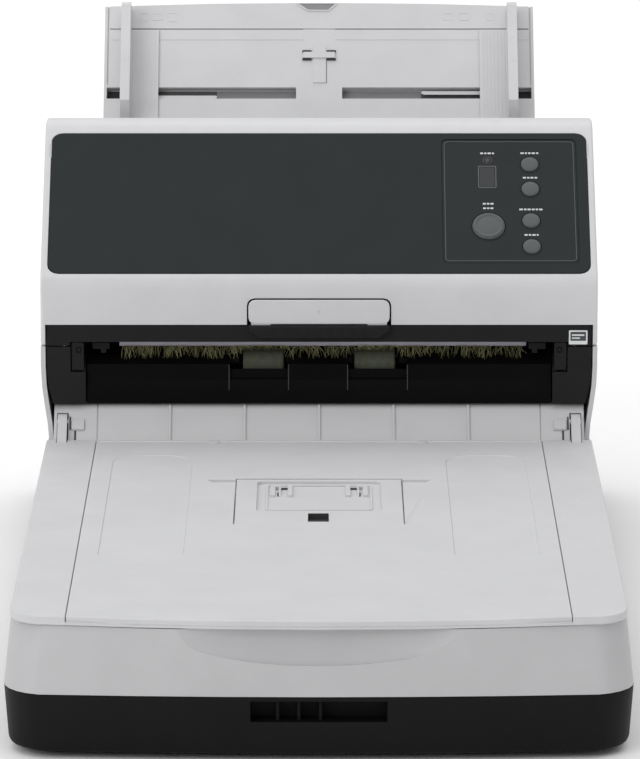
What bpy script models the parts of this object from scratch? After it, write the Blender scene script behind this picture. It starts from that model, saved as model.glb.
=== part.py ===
"""Flatbed document scanner with a sheet feeder on its rear half.

Lengths are in millimetres: x from the middle, d (depth) back from the front edge, z up from the floor.
The model is made in metres, with its origin under the middle of its footprint.
"""

import math

import bmesh
import bpy
from mathutils import Matrix, Vector

MM = 0.001

# overall
DEPTH = 577.0
HALF_WIDTH = 150.0             # pan and feeder
COVER_HALF = 146.6             # document cover and the top of the bed frame
WALL = 2.5
PAN_DRAFT = 2.0                # how far the pan's walls lean in at the floor
PAN_WALL = PAN_DRAFT + WALL    # at the rim; the lean takes the draft off it lower down
PAN_ROUND = 3.0                # the pan's lower edge, rounded all the way along

# heights of the flatbed
PAN_BOTTOM = 3.0
PAN_TOP = 31.7
FRAME_BOTTOM = 32.0
FRAME_TOP = 64.2
COVER_BOTTOM = 64.6
COVER_TOP = 68.6
GLASS_TOP = 61.4
GLASS_HALF = 109.0
GLASS_FRONT, GLASS_BACK = 36.0, 338.0

# carriage drive under the glass: a belt round two upright pins
BELT_X, BELT_Z = 14.0, 43.0
BELT_PITCH = 6.0               # radius at the middle of the belt's thickness, which sets its speed
BELT_THICK = 0.8
PULLEY_FRONT, PULLEY_BACK = 30.0, 360.0
COVER_BACK = 392.0

# feeder
STAND_TOP = 84.6
STAND_FRONT = 393.5
FEEDER_FRONT = 407.0
SPLIT = 116.8                  # where the top section lifts off
THROAT_HALF = 125.0            # half width of the paper's way
HOOD_PIVOT = (494.0, 207.0)
COVER_PIVOT = (404.5, 75.6)
STOPPER_PIVOT = (200.5, 66.5)
LATCH_PIVOT = (414.0, 142.0)
HOOD_SIDE_INNER = 147.5

# slanted front panel: its lower and upper edge in (d, z)
PANEL_LOW = (410.0, 155.5)
PANEL_HIGH = (482.6, 221.0)

# paper chute: a point on its face, and its slope from the floor
CHUTE_POINT = (530.0, 222.0)
CHUTE_SLOPE = math.radians(54.0)
CHUTE_HALF = 120.0
CHUTE_TOP = 69.0
CHUTE_RISE = 2.4               # its upper edge is higher in the middle
CHUTE_FOOT = -62.0
CHUTE_THICK = 12.0
# the chute's back is the rearmost point
REACH = (CHUTE_POINT[0] + (CHUTE_TOP + CHUTE_RISE) * math.cos(CHUTE_SLOPE)
         + CHUTE_THICK * math.sin(CHUTE_SLOPE))

# paper's way from the chute to the exit, in (d, z)
PAPER_WAY = [(492.5, 170.5), (480.0, 155.0), (462.0, 137.0), (444.0, 122.6), (428.0, 113.2), (414.0, 107.6)]

ROLLER_RADIUS = {"eject": 8.5, "feed": 9.0, "pick": 11.0}
EJECT_AXLE = (426.0, 103.6)
FEED_AXLE = (460.6, 125.4)
PICK_AXLE = (495.6, 155.4)
BRAKE_AXLE = (478.2, 170.8)
MOTOR_AXLE = (520.0, 112.0)

COLOURS = {
    "light_plastic": ((0.62, 0.62, 0.63), 0.45, 0.0),
    "cover_plastic": ((0.66, 0.66, 0.67), 0.45, 0.0),
    "dark_plastic": ((0.022, 0.022, 0.024), 0.5, 0.0),
    "panel_plastic": ((0.035, 0.04, 0.042), 0.4, 0.0),
    "key_plastic": ((0.16, 0.17, 0.18), 0.35, 0.0),
    "white_foam": ((0.85, 0.85, 0.84), 0.7, 0.0),
    "rubber": ((0.05, 0.05, 0.05), 0.8, 0.0),
    "grey_rubber": ((0.14, 0.15, 0.12), 0.8, 0.0),
    "steel": ((0.6, 0.6, 0.62), 0.3, 1.0),
    "glass": ((0.75, 0.85, 0.85), 0.05, 0.0),
    "board_green": ((0.02, 0.14, 0.05), 0.5, 0.0),
    "window_black": ((0.008, 0.008, 0.009), 0.12, 0.0),
}


# ---------------------------------------------------------------- scene and helpers

def clear_scene():
    for item in list(bpy.data.objects):
        bpy.data.objects.remove(item, do_unlink=True)
    for item in list(bpy.data.collections):
        bpy.data.collections.remove(item)


def new_collection(name):
    group = bpy.data.collections.new(name)
    bpy.context.scene.collection.children.link(group)
    return group


def material(slot):
    """The slot's plain material, made once."""
    found = bpy.data.materials.get(slot)
    if found:
        return found
    colour, roughness, metallic = COLOURS[slot]
    made = bpy.data.materials.new(slot)
    made.use_nodes = True
    shader = made.node_tree.nodes["Principled BSDF"]
    shader.inputs["Base Color"].default_value = (*colour, 1.0)
    shader.inputs["Roughness"].default_value = roughness
    shader.inputs["Metallic"].default_value = metallic
    return made


def at(x, d, z):
    """A world position in metres."""
    return Vector((x, d - REACH / 2, z)) * MM


def link(name, mesh, slot, group):
    made = bpy.data.objects.new(name, mesh)
    if slot:
        mesh.materials.clear()
        mesh.materials.append(material(slot))
    group.objects.link(made)
    return made


def cutter(shape):
    """Moves a helper solid out of the part's collection and draws it as wire."""
    for group in list(shape.users_collection):
        group.objects.unlink(shape)
    cutters.objects.link(shape)
    shape.hide_render = True
    shape.display_type = "WIRE"
    return shape


def boolean(target, shape, operation):
    modifier = target.modifiers.new(operation.lower(), "BOOLEAN")
    modifier.operation = operation
    modifier.solver = "EXACT"
    modifier.object = cutter(shape)
    return target


def cut(target, *shapes):
    for shape in shapes:
        boolean(target, shape, "DIFFERENCE")
    return target


def join(target, *shapes):
    for shape in shapes:
        boolean(target, shape, "UNION")
    return target


def soften(target, width, segments=2, angle=35.0):
    modifier = target.modifiers.new("soften", "BEVEL")
    modifier.width = width * MM
    modifier.segments = segments
    modifier.limit_method = "ANGLE"
    modifier.angle_limit = math.radians(angle)
    return target


def box(name, low, high, slot=None):
    """A box between two corners given as (x, d, z)."""
    mesh = bpy.data.meshes.new(name)
    shape = bmesh.new()
    bmesh.ops.create_cube(shape, size=1.0)
    size = [(b - a) * MM for a, b in zip(low, high)]
    bmesh.ops.scale(shape, vec=size, verts=shape.verts)
    shape.to_mesh(mesh)
    shape.free()
    made = link(name, mesh, slot, part)
    made.location = (at(*low) + at(*high)) / 2
    return made


def rod(name, start, end, radius, slot=None, sides=24):
    """A straight cylinder between two (x, d, z) points."""
    first, last = at(*start), at(*end)
    mesh = bpy.data.meshes.new(name)
    shape = bmesh.new()
    bmesh.ops.create_cone(shape, cap_ends=True, segments=sides, radius1=radius * MM, radius2=radius * MM,
                          depth=(last - first).length)
    shape.to_mesh(mesh)
    shape.free()
    mesh.shade_smooth()
    mesh.set_sharp_from_angle(angle=math.radians(35))
    made = link(name, mesh, slot, part)
    made.location = (first + last) / 2
    made.rotation_euler = (last - first).to_track_quat("Z", "Y").to_euler()
    return made


def turned_along_x(name, profile, d, z, slot, sides=24):
    """A turned piece on an axis along X. The profile's points are (x, radius), from high x to low x."""
    mesh = bpy.data.meshes.new(name)
    shape = bmesh.new()
    corners = [shape.verts.new((radius * MM, 0, x * MM)) for x, radius in profile]
    for first, second in zip(corners, corners[1:]):
        shape.edges.new((first, second))
    shape.to_mesh(mesh)
    shape.free()
    made = link(name, mesh, slot, part)
    made.location = at(0, d, z)
    made.rotation_euler = (0, math.radians(90), 0)
    screw = made.modifiers.new("turn", "SCREW")
    screw.steps = sides
    screw.render_steps = sides
    screw.use_merge_vertices = True
    screw.merge_threshold = 0.00001
    return made


def arc(centre, radius, start, end, count):
    """Points along an arc; angles in degrees."""
    turn = [math.radians(start + (end - start) * step / count) for step in range(count + 1)]
    return [(centre[0] + radius * math.cos(a), centre[1] + radius * math.sin(a)) for a in turn]


def rounded_rectangle(low, high, radius, count=4):
    corners = [((high[0] - radius, high[1] - radius), 0), ((low[0] + radius, high[1] - radius), 90),
               ((low[0] + radius, low[1] + radius), 180), ((high[0] - radius, low[1] + radius), 270)]
    return [point for centre, start in corners for point in arc(centre, radius, start, start + 90, count)]


def outline_solid(name, loops, thickness, place, slot=None):
    """A flat outline with any holes, given thickness about its own plane, placed by a matrix in metres."""
    curve = bpy.data.curves.new(name, "CURVE")
    curve.dimensions = "2D"
    curve.fill_mode = "BOTH"
    curve.extrude = thickness * MM / 2
    for loop in loops:
        spline = curve.splines.new("POLY")
        spline.points.add(len(loop) - 1)
        for point, (u, v) in zip(spline.points, loop):
            point.co = (u * MM, v * MM, 0, 1)
        spline.use_cyclic_u = True
    guide = bpy.data.objects.new(name + "_outline", curve)
    cutters.objects.link(guide)
    guide.matrix_world = place
    bpy.context.view_layer.update()
    graph = bpy.context.evaluated_depsgraph_get()
    mesh = bpy.data.meshes.new_from_object(guide.evaluated_get(graph))
    mesh.name = name
    shape = bmesh.new()
    shape.from_mesh(mesh)
    bmesh.ops.remove_doubles(shape, verts=shape.verts, dist=0.00001)
    bmesh.ops.dissolve_limit(shape, angle_limit=math.radians(0.5), verts=shape.verts, edges=shape.edges)
    bmesh.ops.recalc_face_normals(shape, faces=shape.faces)
    shape.to_mesh(mesh)
    shape.free()
    made = link(name, mesh, slot, part)
    made.matrix_world = place
    bpy.data.objects.remove(guide, do_unlink=True)
    return made


def frame_matrix(first, second, origin):
    """Columns: the outline's own two directions, their cross product, and the origin."""
    third = first.cross(second)
    turn = Matrix((first, second, third)).transposed().to_4x4()
    return Matrix.Translation(origin) @ turn


def side_profile(name, loops, low_x, high_x, slot=None):
    """An outline in (d, z), extruded along X."""
    origin = at((low_x + high_x) / 2, 0, 0)
    place = frame_matrix(Vector((0, 1, 0)), Vector((0, 0, 1)), origin)
    return outline_solid(name, loops, high_x - low_x, place, slot)


def front_profile(name, loops, front, back, slot=None):
    """An outline in (x, z), extruded along the depth."""
    origin = at(0, (front + back) / 2, 0)
    place = frame_matrix(Vector((1, 0, 0)), Vector((0, 0, 1)), origin)
    return outline_solid(name, loops, back - front, place, slot)


def plan(name, loops, low_z, high_z, slot=None):
    """An outline in (x, d), extruded upwards."""
    origin = at(0, 0, (low_z + high_z) / 2)
    place = frame_matrix(Vector((1, 0, 0)), Vector((0, 1, 0)), origin)
    return outline_solid(name, loops, high_z - low_z, place, slot)


PANEL_UP = Vector((0, PANEL_HIGH[0] - PANEL_LOW[0], PANEL_HIGH[1] - PANEL_LOW[1])).normalized()
PANEL_NORMAL = Vector((1, 0, 0)).cross(PANEL_UP)
PANEL_LENGTH = math.dist(PANEL_LOW, PANEL_HIGH)
CHUTE_UP = Vector((0, math.cos(CHUTE_SLOPE), math.sin(CHUTE_SLOPE)))
CHUTE_NORMAL = Vector((1, 0, 0)).cross(CHUTE_UP)


def on_panel(name, loops, low, high, slot=None):
    """An outline in (x, up the panel), from low to high above the panel's face."""
    origin = at(0, *PANEL_LOW) + PANEL_NORMAL * (low + high) / 2 * MM
    return outline_solid(name, loops, high - low, frame_matrix(Vector((1, 0, 0)), PANEL_UP, origin), slot)


def on_chute(name, loops, low, high, slot=None):
    """An outline in (x, up the chute), from low to high above the chute's face."""
    origin = at(0, *CHUTE_POINT) + CHUTE_NORMAL * (low + high) / 2 * MM
    return outline_solid(name, loops, high - low, frame_matrix(Vector((1, 0, 0)), CHUTE_UP, origin), slot)


def chute_block(name, low, high, slot=None):
    """A box on the chute between two corners given as (x, up, above)."""
    loop = [(low[0], low[1]), (high[0], low[1]), (high[0], high[1]), (low[0], high[1])]
    return on_chute(name, [loop], low[2], high[2], slot)


def both_sides(make):
    """Calls make(side name, sign) for the left (-1) and the right (+1)."""
    return [make(side, sign) for side, sign in (("left", -1), ("right", 1))]


def mirrored(points, sign):
    return [(sign * u, v) for u, v in points]


# ---------------------------------------------------------------- flatbed

def bowed_front(half, corner, bow, inset=0.0):
    """Front edge from left to right: a corner arc, a bowed front and another corner arc."""
    centre = (half - corner, corner + bow)
    right = arc(centre, corner - inset, 0, -74, 5)[::-1]
    left = [(-x, d) for x, d in right[::-1]]
    reach = right[0][0]
    lift = right[0][1] - inset
    steps = [-0.66, -0.33, 0.0, 0.33, 0.66]
    middle = [(reach * s, inset + lift * s * s) for s in steps]
    return left + middle + right


def bed_outline(half, corner, bow, back, inset=0.0, back_corner=12.0):
    front = bowed_front(half, corner, bow, inset)
    turn = back_corner - min(inset, back_corner - 1)
    right = arc((half - inset - turn, back - inset - turn), turn, 0, 90, 3)
    left = [(-x, d) for x, d in right[::-1]]
    return front + right + left


def make_base_pan():
    pan = plan("base_pan", [bed_outline(HALF_WIDTH, 24, 4, DEPTH)], PAN_BOTTOM, PAN_TOP, "dark_plastic")
    middle = DEPTH * MM / 2
    for corner in pan.data.vertices:
        if corner.co.z < 0:
            corner.co.x *= 1 - PAN_DRAFT / HALF_WIDTH
            corner.co.y = middle + (corner.co.y - middle) * (1 - 2 * PAN_DRAFT / DEPTH)
    shape = bmesh.new()
    shape.from_mesh(pan.data)
    low_edges = [edge for edge in shape.edges
                 if all(corner.co.z < 0 for corner in edge.verts) and edge.calc_face_angle(0) > 0.5]
    bmesh.ops.bevel(shape, geom=low_edges, offset=PAN_ROUND * MM, segments=2, profile=0.5, affect="EDGES")
    shape.to_mesh(pan.data)
    shape.free()
    hollow = plan("pan_hollow", [bed_outline(HALF_WIDTH, 24, 4, DEPTH, PAN_WALL)],
                  PAN_BOTTOM + WALL, PAN_TOP + 5)
    keep = box("pan_keep", (-36, -1, 0), (36, 16, 60))
    cut(hollow, keep)
    cut(pan, hollow)
    cut(pan, box("pan_grip", (-32.3, -2, 19.5), (32.3, 12, 29.6)))
    for x in (-19.5, -9.5, 0.7):
        join(pan, box("grip_rib", (x - 0.8, 5, 18.5), (x + 0.8, 13, 30.5)))
    return pan


def make_feet():
    for depth_name, depth in (("front", 34.0), ("rear", 545.0)):
        for side, sign in (("left", -1), ("right", 1)):
            foot = rod("foot_%s_%s" % (depth_name, side), (sign * 122, depth, 0), (sign * 122, depth, 2.7),
                       8, "rubber", 20)
            soften(foot, 0.6, 1)


def make_bed_frame():
    outline = bed_outline(HALF_WIDTH, 24, 4, DEPTH)
    frame = plan("bed_frame", [outline], FRAME_BOTTOM, FRAME_TOP, "light_plastic")
    for corner in frame.data.vertices:
        if corner.co.z > 0:
            corner.co.x *= COVER_HALF / HALF_WIDTH
            if corner.co.y < 0.1:
                corner.co.y += 0.006 * (corner.co.x / 0.12) ** 2
    hollow = plan("frame_hollow", [bed_outline(COVER_HALF - WALL, 24, 12, DEPTH - WALL, 0.5)],
                  FRAME_BOTTOM - 5, FRAME_TOP - WALL)
    cut(hollow, box("frame_front_wall", (-90, -1, 20), (90, 11, 80)))
    cut(frame, hollow)
    window = rounded_rectangle((-GLASS_HALF, GLASS_FRONT), (GLASS_HALF, GLASS_BACK), 3, 2)
    cut(frame, plan("frame_window", [window], FRAME_TOP - 6, FRAME_TOP + 4))
    mesh = bpy.data.meshes.new("finger_scoop")
    shape = bmesh.new()
    bmesh.ops.create_uvsphere(shape, u_segments=28, v_segments=14, radius=1.0)
    bmesh.ops.scale(shape, vec=(0.0735, 0.0075, 0.0172), verts=shape.verts)
    shape.to_mesh(mesh)
    shape.free()
    scoop = link("finger_scoop", mesh, None, part)
    scoop.location = at(0, 0.3, FRAME_TOP)
    cut(frame, scoop)
    return frame


def make_glass():
    outline = rounded_rectangle((-GLASS_HALF - 5, GLASS_FRONT - 5), (GLASS_HALF + 5, GLASS_BACK + 5), 2, 1)
    plan("bed_glass", [outline], GLASS_TOP - 3, GLASS_TOP - 0.1, "glass")


def make_carriage():
    carriage = box("scan_carriage", (-114, 44, 36), (114, 72, 57.6), "dark_plastic")
    cut(carriage, rod("carriage_bore", (60, 20, 42), (60, 100, 42), 4.4, None, 20),
        box("carriage_belt_gap", (6.4, 30, 39.2), (21.6, 90, 46.8)))
    cut(carriage, box("lamp_slot", (-108, 52, 54), (108, 62, 60)))
    soften(carriage, 1.0, 1)
    rod("carriage_rod", (60, 22, 42), (60, 372, 42), 4, "steel", 20)


def make_carriage_drive():
    """A toothed belt, drawn as a smooth loop, round two pulleys on upright pins."""
    def loop(radius):
        return (arc((BELT_X, PULLEY_BACK), radius, 0, 180, 8)
                + arc((BELT_X, PULLEY_FRONT), radius, 180, 360, 8))

    half = BELT_THICK / 2
    loops = [loop(BELT_PITCH + half), loop(BELT_PITCH - half)]
    plan("carriage_belt", loops, BELT_Z - 3, BELT_Z + 3, "rubber")
    for name, depth in (("belt_drive_pulley", PULLEY_BACK), ("belt_idler_pulley", PULLEY_FRONT)):
        rod(name, (BELT_X, depth, BELT_Z - 4), (BELT_X, depth, BELT_Z + 5), BELT_PITCH - half - 0.4,
            "dark_plastic", 20)
    foot, head = (BELT_X, PULLEY_BACK, 9), (BELT_X, PULLEY_BACK, BELT_Z - 8)
    motor = rod("carriage_motor", foot, head, 17, "steel", 24)
    soften(motor, 1.0, 1)


def cover_loop(half, back):
    right = bowed_front(half, 18, 10)
    return right + [(half, back), (-half, back)]


def make_document_cover():
    """Side strips and a thin bed, with a lip along the front; the middle panel lies in it."""
    outline = cover_loop(COVER_HALF, COVER_BACK)
    cover = plan("document_cover", [outline], COVER_BOTTOM, COVER_TOP, "cover_plastic")
    cut(cover, box("cover_tray", (-119.9, -5, COVER_BOTTOM + 1.3), (119.9, COVER_BACK - 1.5, COVER_TOP + 5)))
    pit = plan("stopper_pit", [[(-44, 197.5), (44, 197.5), (44, 301), (-44, 301)]], 60, 80)
    cut(cover, pit)

    def knuckle(side, sign):
        arm = [(386, 66.2), (392.6, 66.2)] + arc(COVER_PIVOT, 4.5, -60, 140, 8) + [(391.0, 70.4), (386, 68.3)]
        hole = arc(COVER_PIVOT, 1.95, 360, 30, 11)
        low, high = sorted((sign * 135.9, sign * 140.9))
        hinge = side_profile("cover_hinge_%s" % side, [arm, hole], low, high, "cover_plastic")
        room = box("hinge_room", (low - 0.4, 385.6, 65.9), (high + 0.4, 400, 75))
        cut(cover, room)
        return hinge

    both_sides(knuckle)
    return cover


def make_stacker_panel():
    """The middle of the cover, where the sheets land, with its stopper's place and two shallow dishes."""
    half = 119.5
    outline = [(x, d) for x, d in bowed_front(COVER_HALF, 18, 10) if abs(x) < half]
    edge = 9.6
    outline = [(-half, edge)] + outline + [(half, edge), (half, COVER_BACK - 2), (-half, COVER_BACK - 2)]
    panel = plan("stacker_panel", [outline], COVER_BOTTOM + 1.6, COVER_TOP, "cover_plastic")
    place = [(-43.4, 198.2), (43.4, 198.2), (43.4, 300.2), (-43.4, 300.2)]
    cut(panel, plan("stopper_place", [place], 60, 80))

    def scoop(side, sign):
        shape = [(sign * 43, 266), (sign * 58.5, 297.5), (sign * 43, 297.5)]
        if sign < 0:
            shape = shape[::-1]
        return plan("stopper_scoop", [shape], COVER_TOP - 1.5, COVER_TOP + 2)

    cut(panel, *both_sides(scoop))

    def dish(side, sign):
        low, high = sorted((sign * 67.0, sign * 109.0))
        return plan("sheet_dish", [rounded_rectangle((low, 119), (high, 355), 15, 4)], COVER_TOP - 0.35, 80)

    cut(panel, *both_sides(dish))


def make_stopper():
    """A flap that stands up to stop the sheets; it turns on its front edge."""
    low, top = COVER_BOTTOM + 0.4, COVER_TOP - 0.6
    front = STOPPER_PIVOT[0] - 1.0
    outline = [(-42.9, front), (42.9, front), (42.9, 299.6), (-42.9, 299.6)]
    flap = plan("stacker_stopper", [outline], low, top, "cover_plastic")
    cut(flap, plan("stopper_well", [rounded_rectangle((-32, 230), (32, 296), 2, 1)], top - 1.6, top + 4))
    hole = [(-5.6, 205.5), (5.0, 205.5), (5.0, 223), (-5.6, 223)]
    cut(flap, plan("stopper_hole", [hole], low - 3, top + 3))
    for x in (-24.0, -15.0, 15.0, 24.0):
        join(flap, box("stopper_boss", (x - 1.2, 266, top - 2), (x + 1.2, 288, top - 0.3)))
    return flap


def make_cover_pad():
    plan("cover_pad", [rounded_rectangle((-107, 38), (107, 336), 3, 2)], GLASS_TOP + 0.3, COVER_BOTTOM - 0.3,
         "white_foam")


# ---------------------------------------------------------------- feeder, lower half

def make_stand():
    half = 143.0
    outer = [(STAND_FRONT, COVER_BOTTOM), (STAND_FRONT, 66.4), (410.6, 83.6), (413.6, STAND_TOP),
             (573.6, STAND_TOP), (573.6, COVER_BOTTOM)]
    stand = side_profile("feeder_stand", [outer], -half, half, "light_plastic")
    inner = [(398.5, 60), (398.5, 67.3), (412, 81.4), (414.5, STAND_TOP - WALL),
             (571, STAND_TOP - WALL), (571, 60)]
    cut(stand, side_profile("stand_hollow", [inner], -half + WALL, half - WALL))
    slope = [(391, 64.0), (391, 65.6), (410, 85.0), (414.5, 86.0), (414.5, 83.9), (411, 83.0), (394.6, 66.6),
             (394.6, 64.0)]
    rib = [(392.8, 65.6), (392.8, 67.3), (409.2, 83.9), (411.5, 84.75), (413.9, 84.75), (413.9, 83),
           (396, 66)]
    for x in (-80.5, -40.2, 0.0, 40.2, 80.5):
        join(stand, side_profile("apron_rib", [rib], x - 0.6, x + 0.6))
    for x in (-119.5, 119.5):
        cut(stand, side_profile("apron_groove", [slope], x - 0.35, x + 0.35))

    def hinge_slot(side, sign):
        low, high = sorted((sign * 135.2, sign * 141.4))
        swing = [(388, 60), (399.5, 60)] + arc(COVER_PIVOT, 5.4, -70, 115, 8) + [(398, 90), (388, 90)]
        cut(stand, side_profile("hinge_slot", [swing], low, high))
        pin = rod("hinge_pin", (sign * 133.5, *COVER_PIVOT), (sign * 142.8, *COVER_PIVOT), 1.6, None, 12)
        return pin

    join(stand, *both_sides(hinge_slot))


def side_shell_section(sign):
    """The feeder's side wall seen from the front, in (x, z): upright, then drawn in towards the flatbed."""
    outer = [(145.8, 64.9), (146.6, 75), (148.2, 85), (149.5, 95), (HALF_WIDTH, 106), (HALF_WIDTH, 240)]
    inner = [(x - WALL, z) for x, z in outer[::-1]]
    loop = outer + inner
    return mirrored(loop, sign) if sign > 0 else mirrored(loop, sign)[::-1]


LOWER_SIDE = [(405, 64.9), (FEEDER_FRONT, 90), (FEEDER_FRONT, SPLIT - 0.2), (436, SPLIT - 0.2), (447, 121.6),
              (487.2, 166.6), (497.8, 199), (503.6, 201.6), (507.6, 205.3), (549.3, 205.3), (576.9, 160.2),
              (576.9, 64.9)]


def make_side_covers():
    def one(side, sign):
        cover = front_profile("side_cover_%s" % side, [side_shell_section(sign)], 404, 577, "light_plastic")
        low, high = sorted((sign * 138, sign * 155))
        keep = side_profile("side_cover_shape", [LOWER_SIDE], low, high)
        return boolean(cover, keep, "INTERSECT")

    both_sides(one)


def make_rear_cover():
    outer = [(574.3, 64.9), (576.9, 64.9), (576.9, 160.2), (549.3, 205.3), (508, 205.3), (508, 202.8),
             (547.9, 202.8), (574.3, 159.4)]
    rear = side_profile("rear_cover", [outer], -146.8, 146.8, "light_plastic")
    cut(rear, box("chute_bay", (-121.2, 500, 195), (121.2, 534.5, 212)))
    for sign in (-1, 1):
        corner = [(142.8, 60), (160, 60), (160, 108), (146.8, 108), (146.4, 96), (145.2, 85), (143.6, 75)]
        corner = mirrored(corner, sign) if sign > 0 else mirrored(corner, sign)[::-1]
        cut(rear, front_profile("rear_corner", [corner], 560, 590))
    cut(rear, box("inlet_hole", (-92, 560, 96), (-64, 590, 116)))
    cut(rear, box("port_hole", (-46, 560, 98), (-33.6, 590, 110)))
    for row in range(6):
        height = 128 + row * 4.4
        cut(rear, box("vent", (20, 570, height), (92, 580, height + 1.8)))


def make_side_frames():
    """Dark end frames: a plate beside the exit, and a wall that carries the rollers and the hood's pin."""
    def one(side, sign):
        wall = [(FEEDER_FRONT + 3, 85.1), (556, 85.1), (556, 150), (512, 168), (506, 190), (502, 207)]
        wall += arc(HOOD_PIVOT, 6.5, 10, 170, 8)
        wall += [(486.5, 196), (484, 166), (462, 140), (444, 121), (428, 112.6), (414, 107), (410, 104)]
        low, high = sorted((sign * 125.9, sign * 128.4))
        frame = side_profile("side_frame_%s" % side, [wall], low, high, "dark_plastic")
        face = [(125.9, 85.1), (143.6, 85.1), (145.6, 93), (146.8, 100), (146.8, SPLIT - 0.3),
                (134, SPLIT - 0.3), (134, 102.6), (125.9, 102.6)]
        face = mirrored(face, sign) if sign > 0 else mirrored(face, sign)[::-1]
        join(frame, front_profile("frame_face", [face], FEEDER_FRONT + 0.5, FEEDER_FRONT + 3.5))
        pin = rod("hood_pin", (sign * 126.5, *HOOD_PIVOT), (sign * 135.5, *HOOD_PIVOT), 3.2, None, 16)
        join(frame, pin)
        low_hole, high_hole = sorted((sign * 120, sign * 132))
        for axle, radius in ((EJECT_AXLE, 3.5), (FEED_AXLE, 4.5), (PICK_AXLE, 4.5)):
            cut(frame, rod("bearing", (low_hole, *axle), (high_hole, *axle), radius, None, 16))
        return frame

    both_sides(one)


def make_lower_guide():
    """The black sheet that carries the paper from the chute to the exit, and the wall under the exit."""
    under = [(490.6, 172.0 - 4.2)] + [(d + 1.7, z - 2.2) for d, z in PAPER_WAY[1:4]]
    under += [(428.9, 110.6), (414.2, 104.6), (414.2, 85.1)]
    outer = [(408.6, 85.1), (408.6, 93), (411.2, 97.6), (411.2, 106.2)]
    loop = outer + PAPER_WAY[::-1] + under
    half = THROAT_HALF + 0.3
    guide = side_profile("lower_guide", [loop], -half, half, "dark_plastic")
    notch = [(400, 97.8), (413, 97.8), (413, 103.2), (417, 103.2), (417, 125), (400, 125)]
    for low, high in ((-48.3, -16.8), (15.7, 47.4)):
        cut(guide, side_profile("exit_notch", [notch], low, high))
    for low, high in ((-43.2, -18.0), (18.0, 43.2)):
        cut(guide, box("tyre_window", (low, 415.5, 100), (high, 436.5, 125)))
    for low, high in ((-58, -28), (28, 58)):
        cut(guide, box("feed_window", (low, 449, 116), (high, 472, 150)))
    cut(guide, box("pick_window", (-32, 480.8, 140), (32, 500, 190)))
    cut(guide, side_profile("scan_window", [[(435, 105), (447, 105), (447, 135), (435, 135)]], -112, 112))


def make_rollers():
    """Turned shafts with their sleeves, from the exit to the chute."""
    end = 127.6
    rod("eject_shaft", (-end, *EJECT_AXLE), (end, *EJECT_AXLE), 3.0, "steel", 16)

    def tyre(side, sign):
        low, high = sorted((sign * 18.9, sign * 41.2))
        body = rod("eject_tyre_%s" % side, (low, *EJECT_AXLE), (high, *EJECT_AXLE), ROLLER_RADIUS["eject"],
                   "grey_rubber", 28)
        cut(body, rod("tyre_bore", (low - 3, *EJECT_AXLE), (high + 3, *EJECT_AXLE), 3.25, None, 16))
        soften(body, 0.8, 1)

    both_sides(tyre)
    sleeve = ROLLER_RADIUS["feed"]
    profile = [(139, 0), (139, 6), (131, 6), (131, 4), (56, 4), (56, sleeve), (30, sleeve), (30, 4), (-30, 4),
               (-30, sleeve), (-56, sleeve), (-56, 4), (-end, 4), (-end, 0)]
    turned_along_x("feed_roller", profile, *FEED_AXLE, "rubber", 20)
    sleeve = ROLLER_RADIUS["pick"]
    profile = [(end, 0), (end, 4), (30, 4), (30, sleeve), (-30, sleeve), (-30, 4), (-end, 4), (-end, 0)]
    turned_along_x("pick_roller", profile, *PICK_AXLE, "rubber", 20)


def make_lower_scan_unit():
    """A line camera under the paper's way."""
    slope = math.radians(33)
    along = Vector((0, math.cos(slope), math.sin(slope)))
    place = frame_matrix(Vector((1, 0, 0)), along, at(0, 445.2, 111.0))
    outline = rounded_rectangle((-110, -6.0), (110, 6.0), 1, 1)
    outline_solid("lower_scan_unit", [outline], 12, place, "dark_plastic")


def make_feed_drive():
    """Motor and belt on the right, between the frame wall and the side cover."""
    motor = rod("feed_motor", (84, *MOTOR_AXLE), (124, *MOTOR_AXLE), 18, "steel", 24)
    soften(motor, 1.2, 1)
    rod("motor_pulley", (129.6, *MOTOR_AXLE), (141.0, *MOTOR_AXLE), 6, "dark_plastic", 20)
    near, far = MOTOR_AXLE, FEED_AXLE
    tilt = math.degrees(math.atan2(far[1] - near[1], far[0] - near[0]))

    def loop(radius):
        return arc(near, radius, tilt - 270, tilt - 90, 8) + arc(far, radius, tilt - 90, tilt + 90, 8)

    side_profile("drive_belt", [loop(7.4), loop(6.5)], 132, 138, "rubber")


def make_electronics():
    box("main_board", (-110, 556.5, 90), (70, 558.1, 150), "board_green")
    inlet = box("power_inlet", (-91.6, 560, 96.4), (-64.4, 576.5, 115.6), "dark_plastic")
    cut(inlet, box("inlet_well", (-88.5, 566, 99.5), (-67.5, 580, 112.5)))


# ---------------------------------------------------------------- feeder, top section

HOOD_REAR = [(503, 226), (503, 214), (499, 207), (496.6, 199.4), (486.2, 167.2), (446.6, 122.4),
             (435.6, SPLIT + 0.5)]


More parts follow.
